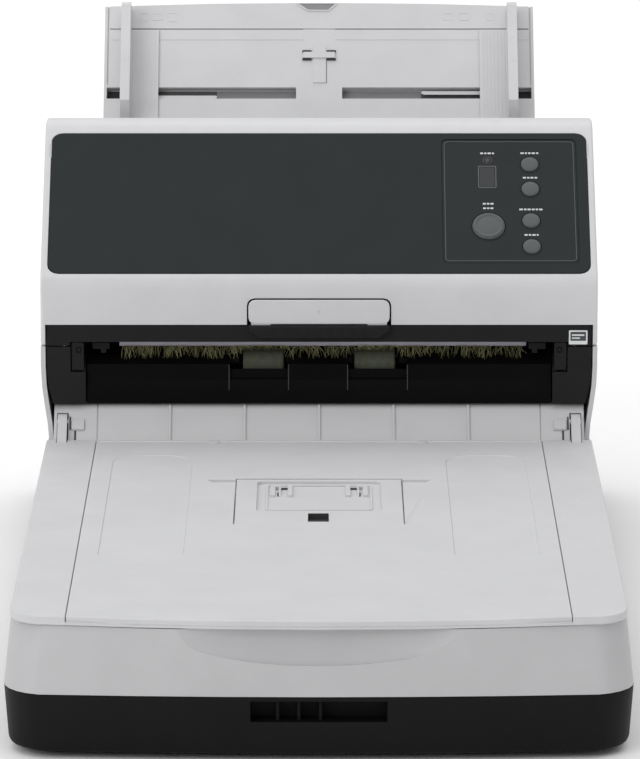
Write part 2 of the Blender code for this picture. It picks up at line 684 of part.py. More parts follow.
def make_top_cover():
    """The light shell of the top section: front band, rim, sides and rear wall, open below."""
    outer = [(FEEDER_FRONT, SPLIT + 0.5), (FEEDER_FRONT, 147.5), (407.8, 152.4), PANEL_LOW, PANEL_HIGH,
             (485.2, 223.6), (489, 225.4), (494, 226)] + HOOD_REAR
    shell = side_profile("top_cover", [outer], -HALF_WIDTH, HALF_WIDTH, "light_plastic")
    soften(shell, 1.6, 2, 60)
    inner = [(409.6, 100), (409.6, 147), (412.6, 154.6), (484.2, 219.2), (489, 222.9), (500.5, 223.4),
             (500.5, 214.8), (496.6, 208), (494, 200.6), (488.4, 182.5), (512, 160), (512, 100)]
    cut(shell, side_profile("hood_hollow", [inner], -HOOD_SIDE_INNER, HOOD_SIDE_INNER))
    for low, high in ((-HOOD_SIDE_INNER, -124.6), (124.6, HOOD_SIDE_INNER)):
        cut(shell, box("pivot_room", (low, 470, 150), (high, 512, 215.2)))
    cut(shell, box("lip_room", (-HOOD_SIDE_INNER, 400, 100), (HOOD_SIDE_INNER, 411, 128.7)))
    window = rounded_rectangle((-146.4, 0.8), (146.4, PANEL_LENGTH - 0.6), 6, 4)
    cut(shell, on_panel("panel_window", [window], -6, 6))
    lever_hole = rounded_rectangle((-38.8, 120), (38.8, 143.2), 4, 3)
    cut(shell, front_profile("lever_hole", [lever_hole], 400, 411))


OPERATOR_LOW, OPERATOR_HIGH = (67.0, 8.0), (140.2, 92.4)
KEYS = {
    "scan_key": (91.8, 32.9, 8.9),
    "function_key": (114.9, 75.4, 4.9),
    "send_key": (114.9, 58.4, 4.9),
    "manual_key": (114.9, 36.7, 4.9),
    "power_key": (114.9, 19.1, 4.9),
}
LAMP = (91.8, 78.2, 1.6)
DISPLAY_LOW, DISPLAY_HIGH = (87.4, 59.8), (95.8, 73.6)
KEY_TOP = 0.9


def circle(centre, radius, count=24):
    return arc(centre, radius, 0, 360 - 360 / count, count - 1)


def make_front_panel():
    panel = on_panel("front_panel", [rounded_rectangle((-146.1, 1.1), (146.1, PANEL_LENGTH - 0.9), 6, 4)],
                     -2.4, 0.4, "panel_plastic")
    window = rounded_rectangle((OPERATOR_LOW[0] - 0.35, OPERATOR_LOW[1] - 0.35),
                               (OPERATOR_HIGH[0] + 0.35, OPERATOR_HIGH[1] + 0.35), 3, 3)
    cut(panel, on_panel("operator_window", [window], -6, 6))


def make_operator_panel():
    loops = [rounded_rectangle(OPERATOR_LOW, OPERATOR_HIGH, 2.7, 3)]
    loops += [circle((x, up), radius + 0.35) for x, up, radius in KEYS.values()]
    loops.append(circle(LAMP[:2], LAMP[2] + 0.3, 12))
    loops.append(rounded_rectangle((DISPLAY_LOW[0] - 0.3, DISPLAY_LOW[1] - 0.3),
                                   (DISPLAY_HIGH[0] + 0.3, DISPLAY_HIGH[1] + 0.3), 0.8, 2))
    on_panel("operator_panel", loops, -2.4, 0.1, "panel_plastic")
    for name, (x, up, radius) in KEYS.items():
        key = on_panel(name, [circle((x, up), radius)], -2.2, KEY_TOP, "key_plastic")
        soften(key, 0.5, 1)
    on_panel("check_lamp", [circle(LAMP[:2], LAMP[2], 12)], -2.2, 0.4, "window_black")
    window = rounded_rectangle(DISPLAY_LOW, DISPLAY_HIGH, 0.6, 2)
    on_panel("display_window", [window], -2.2, 0.2, "window_black")


def make_hood_frame():
    """Dark inside of the top section: the lip over the exit, the upper paper guide and two end plates."""
    lip = [(407.6, 119.2), (407.6, 128.3), (410.4, 128.3), (410.4, 121.4), (424, 121.4), (430, 122.6),
           (444, 131.4), (462, 145.6), (476, 159.6), (483.6, 169.2), (485.6, 167.8), (478.2, 157.8),
           (463.8, 143.2), (446, 128.6), (431.4, 119.6), (424.6, 118.7)]
    frame = side_profile("hood_frame", [lip], -THROAT_HALF + 0.5, THROAT_HALF - 0.5, "dark_plastic")
    front_bar = [(407.6, 119.2), (407.6, 128.3), (410.4, 128.3), (410.4, 119.2)]
    join(frame, side_profile("lip_bar", [front_bar], -146.8, 146.8))

    def end(side, sign):
        plate = [(409.5, 121), (409.5, 127.5), (470, 205), (484, 212)] + arc(HOOD_PIVOT, 7.5, 130, -60, 8)
        plate += [(487.5, 190), (484.4, 170), (446, 127), (433, 121)]
        low, high = sorted((sign * 134.6, sign * 137.0))
        shape = side_profile("end_plate", [plate], low, high)
        low_hole, high_hole = sorted((sign * 130, sign * 141))
        cut(shape, rod("pin_hole", (low_hole, *HOOD_PIVOT), (high_hole, *HOOD_PIVOT), 3.5, None, 16))
        join(frame, shape)
        drop = box("lip_end", *[tuple(values) for values in zip(*[sorted(pair) for pair in (
            (sign * 134.4, sign * 146.8), (407.6, 410.4), (SPLIT + 0.4, 121))])])
        join(frame, drop)
        low_bar, high_bar = sorted((sign * 120, sign * 135.5))
        return side_profile("guide_bridge", [[(449, 135.6), (462, 145.8), (463.6, 144.2), (450.6, 134)]],
                            low_bar, high_bar)

    join(frame, *both_sides(end))
    cut(frame, box("brake_window", (-26, 460, 138), (26, 500, 190)))
    window = [(437, 115), (449, 115), (449, 140), (437, 140)]
    cut(frame, side_profile("upper_scan_window", [window], -112, 112))


def make_upper_scan_unit():
    slope = math.radians(36)
    along = Vector((0, math.cos(slope), math.sin(slope)))
    place = frame_matrix(Vector((1, 0, 0)), along, at(0, 437.8, 136.5))
    outline_solid("upper_scan_unit", [rounded_rectangle((-110, -5.0), (110, 5.0), 1, 1)], 10, place,
                  "dark_plastic")


def make_brake_roller():
    profile = [(30, 0), (30, 3), (22, 3), (22, 9), (-22, 9), (-22, 3), (-30, 3), (-30, 0)]
    turned_along_x("brake_roller", profile, *BRAKE_AXLE, "rubber", 20)


def make_static_brush():
    """A bright strip across the exit with a curtain of fibres under it."""
    strip = [(418.4, 117.0), (418.4, 118.3), (422.6, 118.3), (422.6, 117.0), (421.4, 116.8), (421.4, 114.6),
             (419.6, 114.6), (419.6, 116.8)]
    side_profile("static_brush", [strip], -108, 112, "steel")


def make_latch():
    """The lever on the front band, the shaft behind it and a latch at each end, all turning together."""
    d, z = LATCH_PIVOT
    face = rounded_rectangle((-38.0, 129.3), (38.0, 142.6), 3.6, 3)
    lever = front_profile("cover_open_lever", [face], 405.4, 406.7, "light_plastic")
    soften(lever, 0.4, 1, 60)
    join(lever, box("lever_body", (-36.4, 406.3, 129.9), (36.4, 409.2, 141.0)))
    shaft = rod("latch_shaft", (-133.6, d, z), (133.6, d, z), 3, "dark_plastic", 12)
    for sign in (-1, 1):
        hook = [(d - 3, z + 3), (d + 3, z + 3), (d + 7, z - 12), (d + 7.4, z - 30), (418.6, 104.4),
                (413.6, 103.4), (d + 2.6, z - 30), (d + 2.6, z - 13), (d - 3, z - 3)]
        low, high = sorted((sign * 129.0, sign * 133.4))
        join(shaft, side_profile("latch", [hook], low, high))
        arm = [(410.0, z - 8.5), (410.0, z - 2.0), (d + 1.6, z + 1.4), (d + 1.6, z - 2.4)]
        low, high = sorted((sign * 20, sign * 26))
        join(shaft, side_profile("lever_arm", [arm], low, high))
    join(shaft, box("lever_back", (-34, 409.6, 131.2), (34, 411.6, 141)))
    grip = [(-38.0, 128.9), (38.0, 128.9), (38.0, 125.4), (32, 121.6), (-32, 121.6), (-38.0, 125.4)]
    lip = front_profile("lever_grip", [grip[::-1]], 403.6, 407.2, "dark_plastic")
    soften(lip, 0.6, 1, 60)


# ---------------------------------------------------------------- chute

def make_chute():
    """A hollow board: racks run behind its face, and the extensions slide out of its back half."""
    top = [(CHUTE_HALF * s, CHUTE_TOP + CHUTE_RISE * (1 - s * s)) for s in (1.0, 0.5, 0.0, -0.5, -1.0)]
    outline = [(-CHUTE_HALF, CHUTE_FOOT), (CHUTE_HALF, CHUTE_FOOT)] + top
    chute = on_chute("paper_chute", [outline], -CHUTE_THICK, 0, "light_plastic")
    cut(chute, chute_block("rack_room", (-118.4, 6, -5.2), (118.4, 23, -2)))
    for low, high in ((-118.4, -12.8), (12.8, 118.4)):
        cut(chute, chute_block("rack_slot", (low, 11.2, -3), (high, 18.2, 3)))
    cut(chute, chute_block("extension_room", (-56, -38, -10.6), (56, 90, -6.2)))
    for sign in (-1, 1):
        low, high = sorted((sign * 117.6, sign * 118.4))
        cut(chute, chute_block("edge_groove", (low, 20, -0.9), (high, 80, 3)))
    cut(chute, chute_block("face_step", (-117.2, 54.4, -0.6), (117.2, 55.2, 3)))
    join(chute, chute_block("middle_rib", (-3.4, 21, -1), (3.8, 44, 0.6)))
    join(chute, chute_block("chute_clip", (-8.8, 36.2, -1), (8.8, 39.8, 1.4)))


def make_extensions():
    outer = chute_block("chute_extension", (-54.8, -34, -10.3), (54.8, 72.4, -6.5), "light_plastic")
    cut(outer, chute_block("tip_room", (-28.6, -24, -9.4), (28.6, 90, -7.4)))
    inner = chute_block("extension_tip", (-28.2, -20, -9.1), (28.2, 73.0, -7.7), "light_plastic")
    return outer, inner


RACK = {"left": (7.0, 10.6), "right": (18.4, 22.0)}
PINION_UP = 14.5


def make_side_guides():
    """Fins that slide towards each other; each carries a rack behind the chute's face."""
    def one(side, sign):
        low, high = sorted((sign * 89.6, sign * 105.6))
        guide = chute_block("side_guide_%s" % side, (low, -6, 0.35), (high, 53.8, 1.5), "light_plastic")
        low, high = sorted((sign * 105.0, sign * 110.4))
        fin = [(-6, 0.35), (-6, 9), (2, 17), (62, 14), (66.8, 10), (66.8, 0.35)]
        origin = at((low + high) / 2, *CHUTE_POINT)
        place = frame_matrix(CHUTE_UP, CHUTE_NORMAL, origin)
        join(guide, outline_solid("fin", [fin], high - low, place))
        low, high = sorted((sign * 94.0, sign * 108.0))
        join(guide, chute_block("guide_foot", (low, 11.8, -3.4), (high, 17.6, 1.0)))
        rack_low, rack_high = RACK[side]
        low, high = sorted((sign * 110.0, -sign * 14.0))
        join(guide, chute_block("guide_rack", (low, rack_low, -4.9), (high, rack_high, -2.6)))
        low, high = sorted((sign * 94.0, sign * 108.0))
        bridge_low, bridge_high = min(rack_low, 12), max(rack_high, 17)
        join(guide, chute_block("rack_bridge", (low, bridge_low, -4.9), (high, bridge_high, -2.6)))
        return guide

    both_sides(one)
    place = frame_matrix(Vector((1, 0, 0)), CHUTE_UP, pinion_centre())
    outline_solid("guide_pinion", [circle((0, 0), 3.5, 18)], 2.2, place, "dark_plastic")


def pinion_centre():
    """Where the pinion's pin stands, between the two racks, as a world position in metres."""
    return at(0, *CHUTE_POINT) + (CHUTE_UP * PINION_UP - CHUTE_NORMAL * 3.75) * MM


# ---------------------------------------------------------------- axes of what moves

def hang(body, point, pieces, carrier=None):
    """An empty on a joint's axis, with the pieces that turn or slide on it as its children."""
    axis = bpy.data.objects.new("axis_" + body, None)
    axis.empty_display_size = 0.02
    part.objects.link(axis)
    axis.location = point
    if carrier:
        axis.parent = carrier
        axis.matrix_parent_inverse = carrier.matrix_world.inverted()
    bpy.context.view_layer.update()
    for name in pieces:
        piece = bpy.data.objects[name]
        piece.parent = axis
        piece.matrix_parent_inverse = axis.matrix_world.inverted()
    return axis


def hang_flatbed():
    hang("carriage", at(0, 58, BELT_Z), ["scan_carriage"])
    hang("drive_pulley", at(BELT_X, PULLEY_BACK, BELT_Z), ["belt_drive_pulley"])
    hang("idler_pulley", at(BELT_X, PULLEY_FRONT, BELT_Z), ["belt_idler_pulley"])
    cover = hang("cover", at(0, *COVER_PIVOT), ["document_cover", "stacker_panel", "cover_pad",
                                                "cover_hinge_left", "cover_hinge_right"])
    hang("stopper", at(0, *STOPPER_PIVOT), ["stacker_stopper"], cover)


def hang_rollers():
    hang("eject_roller", at(0, *EJECT_AXLE), ["eject_shaft", "eject_tyre_left", "eject_tyre_right"])
    hang("feed_roller", at(0, *FEED_AXLE), ["feed_roller"])
    hang("pick_roller", at(0, *PICK_AXLE), ["pick_roller"])
    hang("motor_pulley", at(0, *MOTOR_AXLE), ["motor_pulley"])


def hang_top_section():
    top = hang("top_section", at(0, *HOOD_PIVOT), ["top_cover", "front_panel", "operator_panel", "check_lamp",
                                                   "display_window", "hood_frame", "upper_scan_unit",
                                                   "static_brush"])
    hang("brake_roller", at(0, *BRAKE_AXLE), ["brake_roller"], top)
    hang("lever", at(0, *LATCH_PIVOT), ["cover_open_lever", "lever_grip", "latch_shaft"], top)
    for name, (x, up, radius) in KEYS.items():
        hang(name, at(x, *PANEL_LOW) + PANEL_UP * up * MM, [name], top)


def hang_chute():
    face = at(0, *CHUTE_POINT)
    extension = hang("extension", face - CHUTE_NORMAL * 8.4 * MM, ["chute_extension"])
    hang("extension_tip", face - CHUTE_NORMAL * 8.4 * MM, ["extension_tip"], extension)
    for side, sign in (("left", -1), ("right", 1)):
        hang("guide_" + side, face + Vector((sign * 105 * MM, 0, 0)), ["side_guide_" + side])
    hang("guide_pinion", pinion_centre(), ["guide_pinion"])


clear_scene()
part = new_collection("document_scanner")
cutters = new_collection("cutters")

make_base_pan()
make_feet()
make_bed_frame()
make_glass()
make_carriage()
make_carriage_drive()
make_document_cover()
make_stacker_panel()
make_stopper()
make_cover_pad()
make_stand()
make_side_covers()
make_rear_cover()
make_side_frames()
make_lower_guide()
make_rollers()
make_lower_scan_unit()
make_feed_drive()
make_electronics()
make_top_cover()
make_front_panel()
make_operator_panel()
make_hood_frame()
make_upper_scan_unit()
make_brake_roller()
make_static_brush()
make_latch()
make_chute()
make_extensions()
make_side_guides()

hang_flatbed()
hang_rollers()
hang_top_section()
hang_chute()
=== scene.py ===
"""Finishes and small details for a flatbed document scanner with a sheet feeder on its rear half.

Lengths written as numbers are in millimetres: x from the middle, d (depth) back from the front edge, z up.
Everything is built in metres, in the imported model's own frame.
"""

import math
import random

import bmesh
import bpy
from bpy.props import FloatProperty, FloatVectorProperty, IntProperty, PointerProperty
from mathutils import Matrix, Vector


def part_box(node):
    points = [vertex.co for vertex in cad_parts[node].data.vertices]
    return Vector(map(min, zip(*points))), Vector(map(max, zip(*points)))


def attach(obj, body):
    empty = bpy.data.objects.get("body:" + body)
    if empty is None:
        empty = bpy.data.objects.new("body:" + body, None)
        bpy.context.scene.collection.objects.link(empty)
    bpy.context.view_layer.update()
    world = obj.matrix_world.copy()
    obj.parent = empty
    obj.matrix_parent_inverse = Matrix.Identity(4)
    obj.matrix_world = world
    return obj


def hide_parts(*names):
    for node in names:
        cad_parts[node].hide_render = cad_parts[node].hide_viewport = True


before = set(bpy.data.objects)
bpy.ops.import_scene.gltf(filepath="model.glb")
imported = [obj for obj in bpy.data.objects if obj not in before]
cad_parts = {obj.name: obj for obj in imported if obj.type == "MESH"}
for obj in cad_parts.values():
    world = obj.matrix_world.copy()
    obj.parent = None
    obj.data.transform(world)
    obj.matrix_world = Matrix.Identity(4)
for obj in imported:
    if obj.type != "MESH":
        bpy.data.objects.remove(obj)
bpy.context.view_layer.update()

bl_info = {
    "name": "Document scanner finishes",
    "version": (1, 0, 0),
    "blender": (4, 5, 0),
    "location": "3D View > Sidebar > Scanner",
    "description": "Adds finishes, small mouldings and a studio stage to a packed document scanner",
    "category": "Object",
}

MM = 0.001
# depth just inside the back shell's outer face
BACK_FACE = 576.9
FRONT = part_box("base_pan")[0].y

# slanted front panel: its lower and upper edge in (d, z)
PANEL_LOW = (410.0, 155.5)
PANEL_HIGH = (482.6, 221.0)

# paper chute: a point on its face, and its slope from the floor
CHUTE_POINT = (530.0, 222.0)
CHUTE_SLOPE = math.radians(54.0)

KEYS = {
    "scan_key": (91.8, 32.9, 8.9),
    "function_key": (114.9, 75.4, 4.9),
    "send_key": (114.9, 58.4, 4.9),
    "manual_key": (114.9, 36.7, 4.9),
    "power_key": (114.9, 19.1, 4.9),
}


# ---------------------------------------------------------------- places

def at(x, d, z):
    """A world position in metres."""
    return Vector((x * MM, FRONT + d * MM, z * MM))


def surface(origin, across, along):
    """A matrix in metres whose first two axes lie in a surface and whose third leaves it."""
    out = across.cross(along)
    return Matrix.Translation(origin) @ Matrix((across, along, out)).transposed().to_4x4()


RIGHT = Vector((1, 0, 0))
BACK = Vector((0, 1, 0))
UP = Vector((0, 0, 1))
PANEL_UP = Vector((0, PANEL_HIGH[0] - PANEL_LOW[0], PANEL_HIGH[1] - PANEL_LOW[1])).normalized()
CHUTE_UP = Vector((0, math.cos(CHUTE_SLOPE), math.sin(CHUTE_SLOPE)))
PANEL = surface(at(0, *PANEL_LOW), RIGHT, PANEL_UP)
CHUTE = surface(at(0, *CHUTE_POINT), RIGHT, CHUTE_UP)
FLAT = surface(at(0, 0, 0), RIGHT, BACK)                # (x, d), out is up


def facing_front(d):
    """(x, z) on an upright plane at depth d; out is towards the front."""
    return surface(at(0, d, 0), RIGHT, UP)


def facing_rear(d):
    """(-x, z) on an upright plane at depth d; out is towards the back."""
    return surface(at(0, d, 0), -RIGHT, UP)


SIDEWAYS = surface(at(0, 0, 0), BACK, UP)               # (d, z), out is to the right


# ---------------------------------------------------------------- outlines

def arc(centre, radius, start, end, count):
    turn = [math.radians(start + (end - start) * step / count) for step in range(count + 1)]
    return [(centre[0] + radius * math.cos(a), centre[1] + radius * math.sin(a)) for a in turn]


def circle(centre, radius, count=32):
    return arc(centre, radius, 0, 360 - 360 / count, count - 1)


def rounded(low, high, radius, count=5):
    corners = [((high[0] - radius, high[1] - radius), 0), ((low[0] + radius, high[1] - radius), 90),
               ((low[0] + radius, low[1] + radius), 180), ((high[0] - radius, low[1] + radius), 270)]
    return [point for centre, start in corners for point in arc(centre, radius, start, start + 90, count)]


def span(sign, near, far):
    """The x range from near to far on one side, lowest first."""
    return tuple(sorted((sign * near, sign * far)))


# ---------------------------------------------------------------- solids

def add_prism(shape, loop, low, high, place):
    """A closed slab of one outline, from low to high above the surface."""
    area = sum(a[0] * b[1] - b[0] * a[1] for a, b in zip(loop, loop[1:] + loop[:1]))
    loop = loop if area > 0 else loop[::-1]
    bottom = [shape.verts.new(place @ Vector((u * MM, v * MM, low * MM))) for u, v in loop]
    top = [shape.verts.new(place @ Vector((u * MM, v * MM, high * MM))) for u, v in loop]
    shape.faces.new(bottom[::-1])
    shape.faces.new(top)
    for here in range(len(loop)):
        there = (here + 1) % len(loop)
        shape.faces.new((bottom[here], bottom[there], top[there], top[here]))


def add_block(shape, low, high, place=FLAT):
    """A closed block between two corners given as (across, along, above)."""
    loop = [(low[0], low[1]), (high[0], low[1]), (high[0], high[1]), (low[0], high[1])]
    add_prism(shape, loop, low[2], high[2], place)


def add_ring(shape, outer, inner, low, high, place):
    """A closed ring between two outlines with the same number of points."""
    loops = [[shape.verts.new(place @ Vector((u * MM, v * MM, level * MM))) for u, v in loop]
             for loop, level in ((outer, low), (outer, high), (inner, high), (inner, low))]
    for first, second in zip(loops, loops[1:] + loops[:1]):
        for here in range(len(outer)):
            there = (here + 1) % len(outer)
            shape.faces.new((first[here], first[there], second[there], second[here]))


def add_turned(shape, profile, centre, place, count=32):
    """A turned solid about an axis that leaves the surface.

    The profile is (radius, above), outside going up.
    """
    rings = []
    for radius, above in profile:
        if radius < 0.001:
            rings.append([shape.verts.new(place @ Vector((centre[0] * MM, centre[1] * MM, above * MM)))])
        else:
            rings.append([shape.verts.new(place @ Vector((u * MM, v * MM, above * MM)))
                          for u, v in circle(centre, radius, count)])
    for first, second in zip(rings, rings[1:]):
        for here in range(count):
            there = (here + 1) % count
            corners = [first[here % len(first)], first[there % len(first)],
                       second[there % len(second)], second[here % len(second)]]
            shape.faces.new(list(dict.fromkeys(corners)))
    for ring, flip in ((rings[0], True), (rings[-1], False)):
        if len(ring) > 1:
            shape.faces.new(ring[::-1] if flip else ring)


def add_strand(shape, points, radius, tip, sides=3):
    """A thin tapered strand along points in metres."""
    rings = []
    for step, point in enumerate(points):
        ahead = points[min(step + 1, len(points) - 1)] - points[max(step - 1, 0)]
        across = ahead.cross(RIGHT if abs(ahead.normalized().x) < 0.9 else UP).normalized()
        other = ahead.cross(across).normalized()
        size = (radius + (tip - radius) * step / (len(points) - 1)) * MM
        rings.append([shape.verts.new(point + (across * math.cos(a) + other * math.sin(a)) * size)
                      for a in (math.tau * side / sides for side in range(sides))])
    for first, second in zip(rings, rings[1:]):
        for here in range(sides):
            there = (here + 1) % sides
            shape.faces.new((first[here], first[there], second[there], second[here]))
    shape.faces.new(rings[0][::-1])
    shape.faces.new(rings[-1])


def piece(name, shape, finish, body, edge=0.0, segments=2, angle=35.0):
    """Makes a finished object from a bmesh and hangs it on a body."""
    bmesh.ops.recalc_face_normals(shape, faces=shape.faces)
    mesh = bpy.data.meshes.new(name)
    shape.to_mesh(mesh)
    shape.free()
    mesh.shade_smooth()
    mesh.set_sharp_from_angle(angle=math.radians(angle))
    mesh.materials.append(finish)
    made = bpy.data.objects.new(name, mesh)
    bpy.context.scene.collection.objects.link(made)
    if edge:
        bevel = made.modifiers.new("edge", "BEVEL")
        bevel.width = edge * MM
        bevel.segments = segments
        bevel.limit_method = "ANGLE"
        bevel.angle_limit = math.radians(angle)
        bevel.harden_normals = True
    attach(made, body)
    return made


# ---------------------------------------------------------------- finishes

def start_material(name, colour, roughness, metallic=0.0):
    made = bpy.data.materials.new(name)
    made.use_nodes = True
    tree = made.node_tree
    shader = tree.nodes["Principled BSDF"]
    shader.inputs["Base Color"].default_value = (*colour, 1.0)
    shader.inputs["Roughness"].default_value = roughness
    shader.inputs["Metallic"].default_value = metallic
    coordinates = tree.nodes.new("ShaderNodeTexCoord").outputs["Object"]
    return made, tree, shader, coordinates


def noise(tree, vector, size, detail=3.0, roughness=0.55):
    """A noise whose features are about size millimetres across."""
    made = tree.nodes.new("ShaderNodeTexNoise")
    made.inputs["Scale"].default_value = 1.0 / (size * MM)
    made.inputs["Detail"].default_value = detail
    made.inputs["Roughness"].default_value = roughness
    tree.links.new(vector, made.inputs["Vector"])
    return made.outputs["Fac"]


def stretched(tree, vector, scale):
    made = tree.nodes.new("ShaderNodeMapping")
    made.inputs["Scale"].default_value = scale
    tree.links.new(vector, made.inputs["Vector"])
    return made.outputs["Vector"]


def remap(tree, value, low, high, source=(0.3, 0.7)):
    made = tree.nodes.new("ShaderNodeMapRange")
    made.inputs["From Min"].default_value, made.inputs["From Max"].default_value = source
    made.inputs["To Min"].default_value, made.inputs["To Max"].default_value = low, high
    tree.links.new(value, made.inputs["Value"])
    return made.outputs["Result"]


def blend_colours(tree, value, first, second):
    made = tree.nodes.new("ShaderNodeMix")
    made.data_type = "RGBA"
    made.inputs["A"].default_value = (*first, 1.0)
    made.inputs["B"].default_value = (*second, 1.0)
    tree.links.new(value, made.inputs["Factor"])
    return made.outputs["Result"]


def bump(tree, height, depth, normal=None, strength=1.0):
    """Relief of depth millimetres."""
    made = tree.nodes.new("ShaderNodeBump")
    made.inputs["Strength"].default_value = strength
    made.inputs["Distance"].default_value = depth * MM
    tree.links.new(height, made.inputs["Height"])
    if normal:
        tree.links.new(normal, made.inputs["Normal"])
    return made.outputs["Normal"]


def scaled(colour, factor):
    return tuple(min(1.0, channel * factor) for channel in colour)


def moulded(name, colour, roughness, grain=0.45, relief=0.012, cloud=0.03, specular=0.5):
    """Injection moulded plastic: a fine eroded grain, faint clouds in the colour and a slow waviness."""
    made, tree, shader, place = start_material(name, colour, roughness)
    shader.inputs["Specular IOR Level"].default_value = specular
    pores = tree.nodes.new("ShaderNodeTexVoronoi")
    pores.inputs["Scale"].default_value = 1.0 / (grain * MM)
    tree.links.new(place, pores.inputs["Vector"])
    fine = noise(tree, place, grain * 0.8, 4.0, 0.65)
    slow = noise(tree, place, 45, 2.0)
    skin = bump(tree, pores.outputs["Distance"], relief)
    skin = bump(tree, fine, relief * 0.7, skin)
    skin = bump(tree, slow, 0.05, skin, 0.35)
    tree.links.new(skin, shader.inputs["Normal"])
    patches = noise(tree, place, 28, 4.0, 0.6)
    tint = blend_colours(tree, remap(tree, patches, 0.0, 1.0), scaled(colour, 1 - cloud),
                         scaled(colour, 1 + cloud))
    tree.links.new(tint, shader.inputs["Base Color"])
    tree.links.new(remap(tree, fine, roughness - 0.05, roughness + 0.07), shader.inputs["Roughness"])
    return made


def rubbery(name, colour, roughness, pitch, relief, axis):
    """Rubber with fine grooves across one axis and a dusty bloom."""
    made, tree, shader, place = start_material(name, colour, roughness)
    shader.inputs["Specular IOR Level"].default_value = 0.3
    wave = tree.nodes.new("ShaderNodeTexWave")
    wave.bands_direction = axis
    wave.inputs["Scale"].default_value = 0.5 / (pitch * MM) / math.pi
    wave.inputs["Distortion"].default_value = 0.4
    tree.links.new(place, wave.inputs["Vector"])
    dust = noise(tree, place, 3.5, 5.0, 0.7)
    grit = noise(tree, place, 0.4, 3.0, 0.7)
    skin = bump(tree, wave.outputs["Fac"], relief)
    skin = bump(tree, grit, 0.02, skin)
    tree.links.new(skin, shader.inputs["Normal"])
    tint = blend_colours(tree, remap(tree, dust, 0.0, 1.0), scaled(colour, 0.82), scaled(colour, 1.3))
    tree.links.new(tint, shader.inputs["Base Color"])
    tree.links.new(remap(tree, grit, roughness - 0.08, roughness + 0.08), shader.inputs["Roughness"])
    return made


def brushed(name, colour, roughness, stretch=(0.02, 1.0, 1.0)):
    """Metal with drawn lines along its length."""
    made, tree, shader, place = start_material(name, colour, roughness, 1.0)
    lines = noise(tree, stretched(tree, place, stretch), 0.3, 4.0, 0.7)
    smudge = noise(tree, place, 12, 3.0)
    tree.links.new(bump(tree, lines, 0.008), shader.inputs["Normal"])
    tree.links.new(remap(tree, lines, roughness - 0.08, roughness + 0.12), shader.inputs["Roughness"])
    tint = blend_colours(tree, remap(tree, smudge, 0.0, 1.0), scaled(colour, 0.9), scaled(colour, 1.06))
    tree.links.new(tint, shader.inputs["Base Color"])
    return made


def clear(name, colour, roughness=0.03):
    """Glass with a trace of finger marks."""
    made, tree, shader, place = start_material(name, colour, roughness)
    shader.inputs["Transmission Weight"].default_value = 1.0
    shader.inputs["IOR"].default_value = 1.5
    smear = noise(tree, stretched(tree, place, (1.0, 0.35, 1.0)), 22, 4.0, 0.7)
    tree.links.new(remap(tree, smear, roughness, roughness + 0.09, (0.5, 0.8)), shader.inputs["Roughness"])
    tree.links.new(bump(tree, smear, 0.01), shader.inputs["Normal"])
    return made


def lacquered(name, colour, roughness, coat=0.6):
    """A dark window or lens: glossy over a faint inner mottle."""
    made, tree, shader, place = start_material(name, colour, roughness)
    shader.inputs["Coat Weight"].default_value = coat
    shader.inputs["Coat Roughness"].default_value = 0.04
    inner = noise(tree, place, 1.6, 3.0)
    tint = blend_colours(tree, remap(tree, inner, 0.0, 1.0), scaled(colour, 0.85), scaled(colour, 1.2))
    tree.links.new(tint, shader.inputs["Base Color"])
    tree.links.new(remap(tree, inner, roughness, roughness + 0.06), shader.inputs["Roughness"])
    return made


def bristle(name, dark, bright):
    """Brush fibres, each with its own shade of olive."""
    made, tree, shader, place = start_material(name, dark, 0.55)
    single = noise(tree, stretched(tree, place, (1.0, 0.05, 0.05)), 0.9, 1.0)
    wide = noise(tree, stretched(tree, place, (1.0, 0.0, 0.0)), 16, 2.0)
    both = tree.nodes.new("ShaderNodeMath")
    both.operation = "ADD"
    tree.links.new(remap(tree, single, 0.0, 0.7), both.inputs[0])
    tree.links.new(remap(tree, wide, 0.0, 0.5), both.inputs[1])
    both.use_clamp = True
    tree.links.new(blend_colours(tree, both.outputs[0], dark, bright), shader.inputs["Base Color"])
    tree.links.new(remap(tree, single, 0.4, 0.65), shader.inputs["Roughness"])
    return made


def print_and_painted_light(name, colour, roughness=0.5):
    """Marks of print or paint with a faintly uneven edge to their ink, also used for painted shade in gaps,
    slits and slots, and for a painted highlight.
    """
    made, tree, shader, place = start_material(name, colour, roughness)
    ink = noise(tree, place, 0.8, 4.0, 0.7)
    tint = blend_colours(tree, remap(tree, ink, 0.0, 1.0), scaled(colour, 0.9), scaled(colour, 1.05))
    tree.links.new(tint, shader.inputs["Base Color"])
    tree.links.new(bump(tree, ink, 0.006), shader.inputs["Normal"])
    return made


def circuit(name, colour):
    """Solder mask over copper tracks."""
    made, tree, shader, place = start_material(name, colour, 0.35)
    tracks = tree.nodes.new("ShaderNodeTexBrick")
    tracks.inputs["Scale"].default_value = 260
    tracks.inputs["Color1"].default_value = (*colour, 1)
    tracks.inputs["Color2"].default_value = (*scaled(colour, 1.25), 1)
    tracks.inputs["Mortar"].default_value = (*scaled(colour, 1.9), 1)
    tracks.inputs["Mortar Size"].default_value = 0.03
    tree.links.new(place, tracks.inputs["Vector"])
    tree.links.new(tracks.outputs["Color"], shader.inputs["Base Color"])
    tree.links.new(bump(tree, tracks.outputs["Fac"], 0.03), shader.inputs["Normal"])
    return made


FINISH = {}


